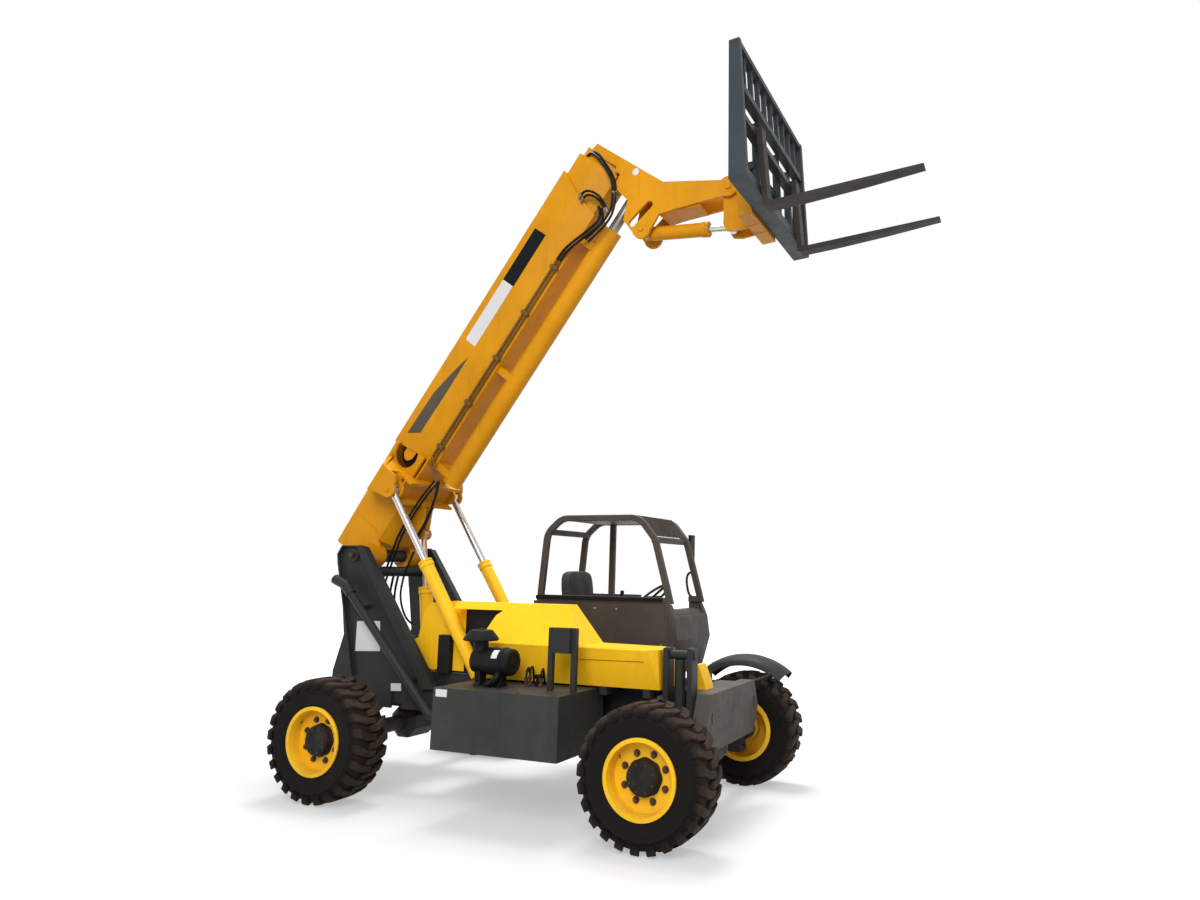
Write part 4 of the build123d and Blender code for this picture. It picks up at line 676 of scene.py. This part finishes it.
# each of these is two hoses that meet by the boom's pivot, one on the boom and one on the chassis
tower_lines = (
    # name, index of the point where they meet, places from mid wheelbase
    ("tower_hose_2", 3, (
        (-1.596, -0.17, 2.169), (-1.675, -0.14, 2.035), (-1.754, -0.12, 1.865), (-1.787, -0.115, 1.785),
        (-1.815, -0.11, 1.713), (-1.877, -0.1, 1.577), (-1.9, -0.1, 1.44))),
    ("tower_hose_3", 3, (
        (-1.628, -0.185, 2.169), (-1.705, -0.155, 2.035), (-1.783, -0.135, 1.865), (-1.815, -0.13, 1.785),
        (-1.843, -0.125, 1.713), (-1.903, -0.115, 1.577), (-1.925, -0.115, 1.44))),
    ("tower_hose_loop", 2, (
        (-1.529, -0.06, 2.036), (-1.592, -0.06, 1.901), (-1.63, -0.06, 1.81), (-1.652, -0.06, 1.72),
        (-1.657, -0.065, 1.599), (-1.58, -0.09, 1.452), (-1.445, -0.15, 1.369), (-1.257, -0.22, 1.33))),
)
for name, meet, places in tower_lines:
    line = from_mid(*places)
    hose(name + "_upper", line[:meet + 1], 0.01, hose_rubber, "boom")
    hose(name, line[meet:], 0.01, hose_rubber)

# ---------------- pivot pin's bolts
PIN_END, KEEPER_FACE, KEEPER_CIRCLE = 0.498, 0.482, 0.045
pin_heads = []
for side in (1, -1):
    pin_heads.append(bolt((boom_pivot.x, side * PIN_END, boom_pivot.z), (0, side, 0), 0.020, 0.012, False))
    for turn in (40, 160, 280):
        x, z = KEEPER_CIRCLE * math.cos(math.radians(turn)), KEEPER_CIRCLE * math.sin(math.radians(turn))
        pin_heads.append(bolt((boom_pivot.x + x, side * KEEPER_FACE, boom_pivot.z + z), (0, side, 0), 0.008, 0.007))
make_piece("pivot_bolts", *merge(*pin_heads), rusty_iron)

# ---------------- tank: bolts, breather, unions with their hoses
tank_low, tank_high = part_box("tank")
fasteners = [
    bolt((tank_low.x + x, tank_low.y + 0.03, tank_high.z), Z_AXIS, 0.009, 0.007) for x in (0.06, 0.40, 0.74, 1.05)
]
make_piece("tank_bolts", *merge(*fasteners), rusty_iron)
neck = [
    (0.03, 0.0), (0.03, 0.022), (0.023, 0.024), (0.023, 0.055), (0.034, 0.057), (0.036, 0.082), (0.03, 0.088),
    (0.0001, 0.089),
]
breather = turned(neck, (MID_X + 0.345, -0.735, tank_high.z), UPRIGHT, 32, 6, 0.033, 0.0015)
make_piece("tank_breather", *breather, black_plastic)
for index, (x, y, high) in enumerate(((0.29, -0.775, 0.075), (0.235, -0.745, 0.06), (0.405, -0.8, 0.065))):
    foot = Vector((MID_X + x, y, tank_high.z))
    union = [
        (0.019, 0.0), (0.019, 0.018), (0.013, 0.02), (0.013, high - 0.02), (0.017, high - 0.018), (0.017, high),
        (0.0001, high),
    ]
    make_piece(f"tank_union_{index}", *turned(union, foot, UPRIGHT, 6), rusty_iron, sharp=20, bevel=0.001)
    arch = (
        (0, 0, high - 0.01), (0, 0, high + 0.05), (-0.02, 0.06, high + 0.075), (-0.05, 0.12, high + 0.03),
        (-0.06, 0.15, 0.02),
    )
    hose(f"tank_hose_{index}", [foot + Vector(step) for step in arch], 0.0085, hose_rubber)

# ---------------- air cleaner: can, rain cap, feet, outlet and label
can_axis = Vector((MID_X, -0.900, 1.172))
CAN_RADIUS = 0.104
canister = [
    # radius, along +X from mid wheelbase
    (0.0001, -0.14), (0.075, -0.14), (0.09, -0.132), (0.094, -0.118), (0.094, -0.03), (0.1, -0.024),
    (CAN_RADIUS, -0.018), (CAN_RADIUS, 0.04), (0.107, 0.042), (0.107, 0.06), (CAN_RADIUS, 0.062),
    (CAN_RADIUS, 0.13), (0.11, 0.133), (0.11, 0.152), (CAN_RADIUS, 0.155), (CAN_RADIUS, 0.19), (0.101, 0.208),
    (0.092, 0.217), (0.066, 0.22), (0.062, 0.214), (0.03, 0.214), (0.026, 0.222), (0.0001, 0.222),
]
rain_cap = [
    (0.062, -0.1), (0.06, -0.02), (0.07, -0.012), (0.131, -0.012), (0.137, -0.008), (0.139, 0.0),
    (0.134, 0.01), (0.092, 0.062), (0.086, 0.068), (0.03, 0.072), (0.026, 0.08), (0.0001, 0.081),
]
foot = [
    (-0.06, 0.0), (0.06, 0.0), (0.06, 0.012), (0.04, 0.024), (0.052, 0.11), (-0.052, 0.11), (-0.04, 0.024),
    (-0.06, 0.012),
]
FOOT_WIDTH = 0.048
feet = [
    prism(foot, (MID_X + x - FOOT_WIDTH / 2, can_axis.y, tank_high.z), Y_AXIS, Z_AXIS, FOOT_WIDTH)
    for x in (-0.085, 0.105)
]
cap_shape = turned(rain_cap, (MID_X - 0.095, can_axis.y, 1.338), UPRIGHT, 64)
cleaner = (
    make_piece("cleaner_can", *turned(canister, can_axis, ALONG_X, 72), black_plastic, sharp=25),
    make_piece("cleaner_rain_cap", *cap_shape, black_plastic, sharp=25),
    make_piece("cleaner_feet", *merge(*feet), black_paint, bevel=0.003),
)
for piece in cleaner:
    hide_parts("air_cleaner")
outlet = (
    (0.12, -0.05, -0.07), (0.13, -0.085, -0.1), (0.095, -0.095, -0.15), (0.03, -0.06, -0.175),
    (-0.02, -0.01, -0.18),
)
hose("cleaner_outlet", [can_axis + Vector(step) for step in outlet], 0.026, black_plastic)
LABEL_START, LABEL_SWEEP, LABEL_STEPS = 18, 42, 8
LABEL_REAR, LABEL_FRONT = 0.072, 0.125
points = []
for step in range(LABEL_STEPS + 1):
    angle = math.radians(LABEL_START + LABEL_SWEEP * step / LABEL_STEPS)
    for x, lift in ((LABEL_REAR, 0), (LABEL_FRONT, 0), (LABEL_FRONT, LABEL_THICK), (LABEL_REAR, LABEL_THICK)):
        radius = CAN_RADIUS + lift
        points.append(can_axis + Vector((x, -radius * math.cos(angle), radius * math.sin(angle))))
faces = sheet(LABEL_STEPS + 1, 4, ring_width=True)
faces += [(0, 1, 2, 3), tuple(range(4 * LABEL_STEPS, 4 * LABEL_STEPS + 4))]
make_piece("cleaner_label", points, faces, decal_white, sharp=40)

# ---------------- cab frame with its bent tubes
TUBE = 0.055
TUBE_EDGE = 0.010
CAB_BEND = 0.20
POST_X, POST_TOP = 0.020, 2.345
ENTRY = (0.345, 0.860)
SUNK = 0.004  # how far the cross tubes reach into the sides
frame_low, frame_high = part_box("cab_frame")
frame_corners = (
    # x from mid wheelbase, z, whether it is bent
    (frame_low.x - MID_X, frame_low.z, False),
    (-0.320, 2.240, True),
    (-0.150, 2.390, True),
    (0.680, 2.390, True),
    (0.850, 2.180, True),
    (1.015, frame_low.z, False),
)


def bent_ring(corners, bend, width, steps=7):
    """Outer and inner points of a closed ring of tube, in pairs, its marked corners bent to an outer radius."""
    pairs = []
    count = len(corners)
    for index, (x, z, bent) in enumerate(corners):
        here = Vector((x, z))
        before = (here - Vector(corners[index - 1][:2])).normalized()
        after = (Vector(corners[(index + 1) % count][:2]) - here).normalized()
        turn = before.angle(after)
        side_before, side_after = Vector((before.y, -before.x)), Vector((after.y, -after.x))
        if bent:
            centre = here - before * (bend * math.tan(turn / 2)) + side_before * bend
            for step in range(steps + 1):
                out = -side_before.slerp(side_after, step / steps)
                pairs.append((centre + out * bend, centre + out * (bend - width)))
        else:
            inward = (side_before + side_after).normalized()
            pairs.append((here, here + inward * width / inward.dot(side_before)))
    return pairs


def cab_side(low_y, high_y, gap=None):
    """One side of the frame, with its sill cut between two places where there is a gap."""
    pairs = bent_ring(frame_corners, CAB_BEND, TUBE)
    if gap:
        ends = [(Vector((x, frame_low.z)), Vector((x, frame_low.z + TUBE))) for x in gap]
        pairs = [ends[0], *pairs, ends[1]]
    points = []
    for outer, inner in pairs:
        for spot, y in ((outer, low_y), (inner, low_y), (inner, high_y), (outer, high_y)):
            points.append((MID_X + spot.x, y, spot.y))
    faces = sheet(len(pairs), 4, ring_rows=not gap, ring_width=True)
    if gap:
        faces += [(0, 1, 2, 3), tuple(range(len(points) - 4, len(points)))]
    return points, faces


right_y = frame_low.y + TUBE - SUNK
left_y = frame_high.y - TUBE + SUNK
tube_section = rounded(TUBE, TUBE, TUBE_EDGE)
cross_tubes = [
    prism(tube_section, (MID_X + x, left_y, z), X_AXIS, Z_AXIS, left_y - right_y)
    for x, z in ((-0.268, 2.235), (0.800, 2.165))
]
post_foot = Vector((MID_X + POST_X, frame_high.y - TUBE / 2, frame_low.z + 0.02))
post = prism(tube_section, post_foot, X_AXIS, Y_AXIS, POST_TOP - post_foot.z)
sides = cab_side(frame_low.y, frame_low.y + TUBE), cab_side(frame_high.y - TUBE, frame_high.y, gap=ENTRY)
cab_loop = make_piece("cab_frame_bent", *merge(*sides, *cross_tubes, post), cab_paint, sharp=32, bevel=0.008)
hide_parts("cab_frame")

# ---------------- seat and control lever
CROWN = 0.35
WAIST = 0.02
CHANNEL_DEPTH, CHANNEL_WIDTH = 0.10, 0.012
seat_low, seat_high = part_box("seat")


def cushion(name, low, high, lean, pull):
    """A crowned pad between two corners: its faces swell, and its corners are pulled in."""
    mesh = bpy.data.meshes.new(name)
    shaper = bmesh.new()
    bmesh.ops.create_cube(shaper, size=2)
    bmesh.ops.subdivide_edges(shaper, edges=shaper.edges, cuts=7, use_grid_fill=True)
    middle, half = (low + high) / 2, (high - low) / 2
    thin = min(range(3), key=lambda axis: half[axis])
    first, second = (axis for axis in range(3) if axis != thin)
    for corner in shaper.verts:
        start = tuple(corner.co)
        shape = list(start)
        shape[thin] *= 1 - CROWN + CROWN * (1 - abs(start[first]) ** 3) * (1 - abs(start[second]) ** 3)
        for axis, other in ((first, second), (second, first)):
            shape[axis] *= 1 - pull * start[other] ** 4 - WAIST * (1 - start[other] ** 2)
        # a sewn channel down the middle
        shape[thin] *= 1 - CHANNEL_DEPTH * math.exp(-((shape[first] * half[first]) / CHANNEL_WIDTH) ** 2)
        place = Vector(shape[axis] * half[axis] for axis in range(3))
        corner.co = middle + place + Vector((lean * (place.z + half.z), 0, 0))
    for face in shaper.faces:
        face.smooth = True
    shaper.to_mesh(mesh)
    shaper.free()
    mesh.materials.append(seat_vinyl)
    piece = bpy.data.objects.new(name, mesh)
    bpy.context.scene.collection.objects.link(piece)
    rounding = piece.modifiers.new("soft", "SUBSURF")
    rounding.levels = 1
    rounding.render_levels = 1
    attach(piece, "chassis")
    return slotted(piece)


PAD_TOP = 1.400
seat_place = Vector((MID_X + 0.060, (seat_low.y + seat_high.y) / 2, 0))
seat_pan = cushion(
    "seat_cushion", seat_place + Vector((-0.235, -0.235, 1.300)), seat_place + Vector((0.245, 0.235, PAD_TOP + 0.02)),
    0.0, 0.10,
)
seat_back = cushion(
    "seat_back", seat_place + Vector((-0.255, -0.245, PAD_TOP)),
    seat_place + Vector((-0.125, 0.245, seat_high.z - 0.003)), -0.10, 0.14,
)
pedestal = prism(
    [(-0.19, 0.0), (0.19, 0.0), (0.15, 0.12), (0.17, 0.268), (-0.17, 0.268), (-0.15, 0.12)],
    seat_place + Vector((0, 0.17, 1.0155)), X_AXIS, Z_AXIS, 0.34,
)
seat_base = make_piece("seat_pedestal", *pedestal, black_paint, bevel=0.006)
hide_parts("seat")
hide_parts("seat")
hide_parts("seat")
lever = from_mid((0.40, 0.45, 1.02), (0.40, 0.45, 1.52), (0.42, 0.45, 1.63), (0.445, 0.45, 1.685))
hose("control_lever", lever, 0.009, black_plastic)
knob = [(0.0001, -0.024), (0.014, -0.022), (0.019, -0.005), (0.019, 0.008), (0.012, 0.020), (0.0001, 0.022)]
make_piece("control_knob", *turned(knob, lever[-1], UPRIGHT, 24), black_plastic, sharp=40)

# ---------------- cab panel, front post, ledge, dash and handle
cab_low, cab_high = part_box("cab_shell")
cab_face = cab_low.y
PANEL_THICK, PANEL_CORNER = 0.0045, 0.030
quarter = [(PANEL_CORNER * math.sin(turn), PANEL_CORNER * math.cos(turn)) for turn in (0, 0.4, 0.8, 1.2, 1.57)]
panel = [(-0.38, 1.2), (-0.38, 1.578)]
panel += [(0.905 + small, 1.548 + large) for small, large in quarter]
panel += [(0.96 + large, 1.23 - small) for small, large in quarter]
front_post = [
    (0.948, 1.605), (1.003, 1.605), (1.04, 1.48), (1.068, 1.29), (1.052, 1.235), (1.0, 1.235), (1.01, 1.29),
    (0.985, 1.48),
]
ledge = rounded(1.3, 0.036, 0.01, (0.27, 1.632))
dash = [
    (0.88, 1.3), (0.88, 1.52), (0.905, 1.548), (0.975, 1.54), (1.008, 1.512), (1.018, 1.455), (1.0, 1.3),
]
DASH_GAP = 0.03
dash_y = cab_high.y - DASH_GAP
BAY_LEFT, SEAM_Y, WEDGE_LEFT = -0.3435, -0.668, -0.12
# outline of a black sheet of painted shade in front of the engine bay's inner wall
bay = [(-0.665, 1.002), (-0.665, 1.535), (-0.3, 1.535), (-0.335, 1.4), (-0.36, 1.25), (-0.36, 1.002)]
wedge = [(1.47, 0.975), (1.575, 0.975), (1.56, 1.03), (1.505, 1.165), (1.47, 1.165)]
# outline of the painted shade along the hood's seam, in a shaded copy of the body's yellow
seam = [(0.62, 1.199), (1.215, 1.205), (1.215, 1.209), (0.62, 1.203)]
side_plates = (
    # name, outline in x from mid wheelbase and z, y of its left face, thickness, material, bevel
    ("cab_panel", panel, cab_face, PANEL_THICK, cab_paint, 0.002),
    ("cab_front_post", front_post, cab_face, 0.024, cab_paint, 0.008),
    ("cab_ledge", ledge, cab_face, 0.006, black_plastic, 0.002),
    ("cab_dash", dash, dash_y, dash_y - cab_low.y - DASH_GAP, cab_paint, 0.008),
    # the engine bay's inner wall behind a black sheet of painted shade, the cover of the hood's front wedge, painted
    # shade along the seam of the hood
    ("bay_shade_sheet", bay, BAY_LEFT, 0.004, black_paint, 0.0),
    ("wedge_cover", wedge, WEDGE_LEFT, 0.16, body_paint, 0.004),
    ("hood_seam_shade", seam, SEAM_Y, 0.006, body_shadow, 0.0),
)
for name, outline, face_y, thick, material, bevel in side_plates:
    make_piece(name, *side_plate(outline, face_y, thick), material, bevel=bevel)
fasteners = [
    bolt((MID_X + x, cab_face - PANEL_THICK, z), TO_RIGHT, 0.007, 0.004)
    for x, z in ((0.25, 1.545), (0.47, 1.543), (0.915, 1.24), (-0.33, 1.545))
]
make_piece("cab_panel_bolts", *merge(*fasteners), bare_steel)
far_y = frame_high.y - TUBE / 2
handle = from_mid(
    (0.935, far_y, 1.868), (0.895, far_y - 0.01, 1.88), (0.85, far_y - 0.015, 1.868), (0.835, far_y - 0.015, 1.8),
    (0.855, far_y - 0.015, 1.69), (0.88, far_y - 0.015, 1.65), (0.93, far_y - 0.01, 1.64), (0.985, far_y, 1.645),
)
hose("cab_grab_handle", handle, 0.011, black_plastic)

# ---------------- front fender, crowned, on two stays
FENDER_LINE = (
    # across, radius from the wheel's axis
    (-0.165, 0.560), (-0.158, 0.592), (-0.135, 0.618), (-0.090, 0.637), (-0.040, 0.646), (0.0, 0.649),
    (0.040, 0.646), (0.090, 0.637), (0.135, 0.618), (0.158, 0.592), (0.165, 0.560),
)
FENDER_STEPS = 36
FENDER_START, FENDER_SWEEP = 51, 82
FENDER_SKIN = 0.006
FENDER_HALF = 0.166
STAY_Z = 0.900
fender_low, fender_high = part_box("fender_front_left")
tyre_low, tyre_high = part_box("tyre_front_left")
front_wheel = (tyre_low + tyre_high) / 2
fender_y = fender_high.y - FENDER_HALF


def round_wheel(reach, angle, y):
    """A point at a reach and an angle in degrees from the front left wheel's axis."""
    turn = math.radians(angle)
    return Vector((front_wheel.x + reach * math.cos(turn), y, front_wheel.z + reach * math.sin(turn)))


rim = [(across, radius, 0.0) for across, radius in FENDER_LINE]
rim += [(across, radius, FENDER_SKIN) for across, radius in reversed(FENDER_LINE)]
points = []
for step in range(FENDER_STEPS + 1):
    angle = FENDER_START + FENDER_SWEEP * step / FENDER_STEPS
    points += [round_wheel(radius - skin, angle, fender_y + across * (1 - skin * 6)) for across, radius, skin in rim]
faces = sheet(FENDER_STEPS + 1, len(rim), ring_width=True)
for start in (0, FENDER_STEPS * len(rim)):
    for index in range(len(FENDER_LINE) - 1):
        low = start + len(rim) - 1 - index
        faces.append((start + index, low, low - 1, start + index + 1))
fender = make_piece("fender_crowned", points, faces, fender_paint, sharp=40)
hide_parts("fender_front_left")
foot_plate = prism(
    rounded(0.300, 0.100, 0.010, (front_wheel.x, STAY_Z)), (0, fender_low.y + 0.014, 0), X_AXIS, Z_AXIS, 0.014,
)
make_piece("fender_foot", *foot_plate, grey_paint, bevel=0.002)
for index, (foot_x, angle) in enumerate(((0.100, 62), (-0.110, 121))):
    foot = Vector((front_wheel.x + foot_x, fender_low.y + 0.012, STAY_Z))
    lip = round_wheel(0.572, angle, fender_y - 0.158)
    under = round_wheel(0.640, angle, fender_y - 0.030)
    stay = [foot, foot + Vector((0, 0.05, 0.02)), lip + Vector((0, -0.01, -0.02)), lip, under]
    hose(f"fender_stay_{index}", stay, 0.012, fender_paint)

# ---------------- ears of the frame-level cylinder
level_low, level_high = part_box("level_cylinder")
level_x = (level_low.x + level_high.x) / 2
ear = [(0.0001, -0.021), (0.058, -0.021), (0.061, -0.018), (0.061, 0.018), (0.058, 0.021), (0.0001, 0.021)]
ears = [turned(ear, (level_x + shift, -0.540, 1.2575), ALONG_X, 48) for shift in (-0.097, 0.097)]
make_piece("level_ears", *merge(*ears), grey_paint)

# ---------------- camera
IMAGE_WIDTH = 1200
FOCAL_PIXELS = 847.8
SENSOR = 36
camera_place = Vector((3.531, -6.592, 1.885))
yaw, pitch, roll = (math.radians(angle) for angle in (112.22, 8.487, 0.834))
forward = Vector((math.cos(pitch) * math.cos(yaw), math.cos(pitch) * math.sin(yaw), math.sin(pitch)))
level_right = Vector((math.sin(yaw), -math.cos(yaw), 0))
level_up = level_right.cross(forward)
right = math.cos(roll) * level_right + math.sin(roll) * level_up
up = math.cos(roll) * level_up - math.sin(roll) * level_right

camera_data = bpy.data.cameras.new("camera")
camera_data.sensor_width = SENSOR
camera_data.lens = SENSOR * FOCAL_PIXELS / IMAGE_WIDTH
camera_data.shift_x = -0.082
camera_data.shift_y = -0.004
camera = bpy.data.objects.new("camera", camera_data)
camera.matrix_world = Matrix.Translation(camera_place) @ Matrix((right, up, -forward)).transposed().to_4x4()
bpy.context.scene.collection.objects.link(camera)
bpy.context.scene.camera = camera


# ---------------- floor, sky and lamps
def seen_directly(tree):
    """1 for rays from the camera, a mirror or glass, which see the plain background."""
    path = tree.nodes.new("ShaderNodeLightPath")
    total = path.outputs["Is Camera Ray"]
    for name in ("Is Glossy Ray", "Is Transmission Ray"):
        joined = tree.nodes.new("ShaderNodeMath")
        joined.operation = "MAXIMUM"
        tree.links.new(total, joined.inputs[0])
        tree.links.new(path.outputs[name], joined.inputs[1])
        total = joined.outputs["Value"]
    return total


SKY_LIGHT = 0.60
FLOOR_HALF = 60
FLOOR_GREY = (0.40, 0.40, 0.40, 1)
FADE_FROM, FADE_TO = 3.6, 8.0  # metres from the machine's middle
GLOW_NEAR, GLOW_FAR = 0.42, 1.0


def make_floor():
    """A floor that takes the shadows and fades to the plain background away from the machine."""
    mesh = bpy.data.meshes.new("floor")
    corners = [(FLOOR_HALF * x, FLOOR_HALF * y, 0) for x, y in ((-1, -1), (1, -1), (1, 1), (-1, 1))]
    mesh.from_pydata(corners, [], [(0, 1, 2, 3)])
    floor = bpy.data.objects.new("floor", mesh)
    bpy.context.scene.collection.objects.link(floor)
    shader = Shader("floor")
    shader.shine(0.1)
    shader.surface.inputs["Base Color"].default_value = FLOOR_GREY
    shader.surface.inputs["Roughness"].default_value = 0.9
    reach = shader.node("VectorMath", {0: shader.coords.outputs["Object"]}, operation="LENGTH")
    fade = shader.ramp(reach.outputs["Value"], FADE_FROM, FADE_TO, GLOW_NEAR, GLOW_FAR)
    glow = shader.node("Emission", {"Strength": shader.math("MULTIPLY", seen_directly(shader.tree), fade)})
    total = shader.node("AddShader", {0: shader.surface.outputs["BSDF"], 1: glow.outputs["Emission"]})
    shader.put(total.outputs["Shader"], shader.tree.nodes["Material Output"].inputs["Surface"])
    mesh.materials.append(shader.material)


def make_sky():
    """A plain white background that lights the machine less than it shows."""
    world = bpy.data.worlds.new("studio")
    world.use_nodes = True
    tree = world.node_tree
    background = tree.nodes["Background"]
    background.inputs["Color"].default_value = (1, 1, 1, 1)
    strength = tree.nodes.new("ShaderNodeMapRange")
    strength.inputs["To Min"].default_value = SKY_LIGHT
    strength.inputs["To Max"].default_value = 1.0
    tree.links.new(seen_directly(tree), strength.inputs["Value"])
    tree.links.new(strength.outputs["Result"], background.inputs["Strength"])
    bpy.context.scene.world = world


LAMP_TARGET = Vector((0, 0, 1.5))


def make_lamp(name, place, size, power):
    """A square lamp, aimed at the machine."""
    data = bpy.data.lights.new(name, "AREA")
    data.size = size
    data.energy = power
    lamp = bpy.data.objects.new(name, data)
    lamp.location = place
    lamp.rotation_euler = (LAMP_TARGET - Vector(place)).to_track_quat("-Z", "Y").to_euler()
    bpy.context.scene.collection.objects.link(lamp)


make_floor()
make_sky()
make_lamp("key", (-1.5, 2.0, 12), 5, 1600)
make_lamp("fill", (3, -9, 7), 5, 700)

scene = bpy.context.scene
scene.view_settings.view_transform = "Standard"
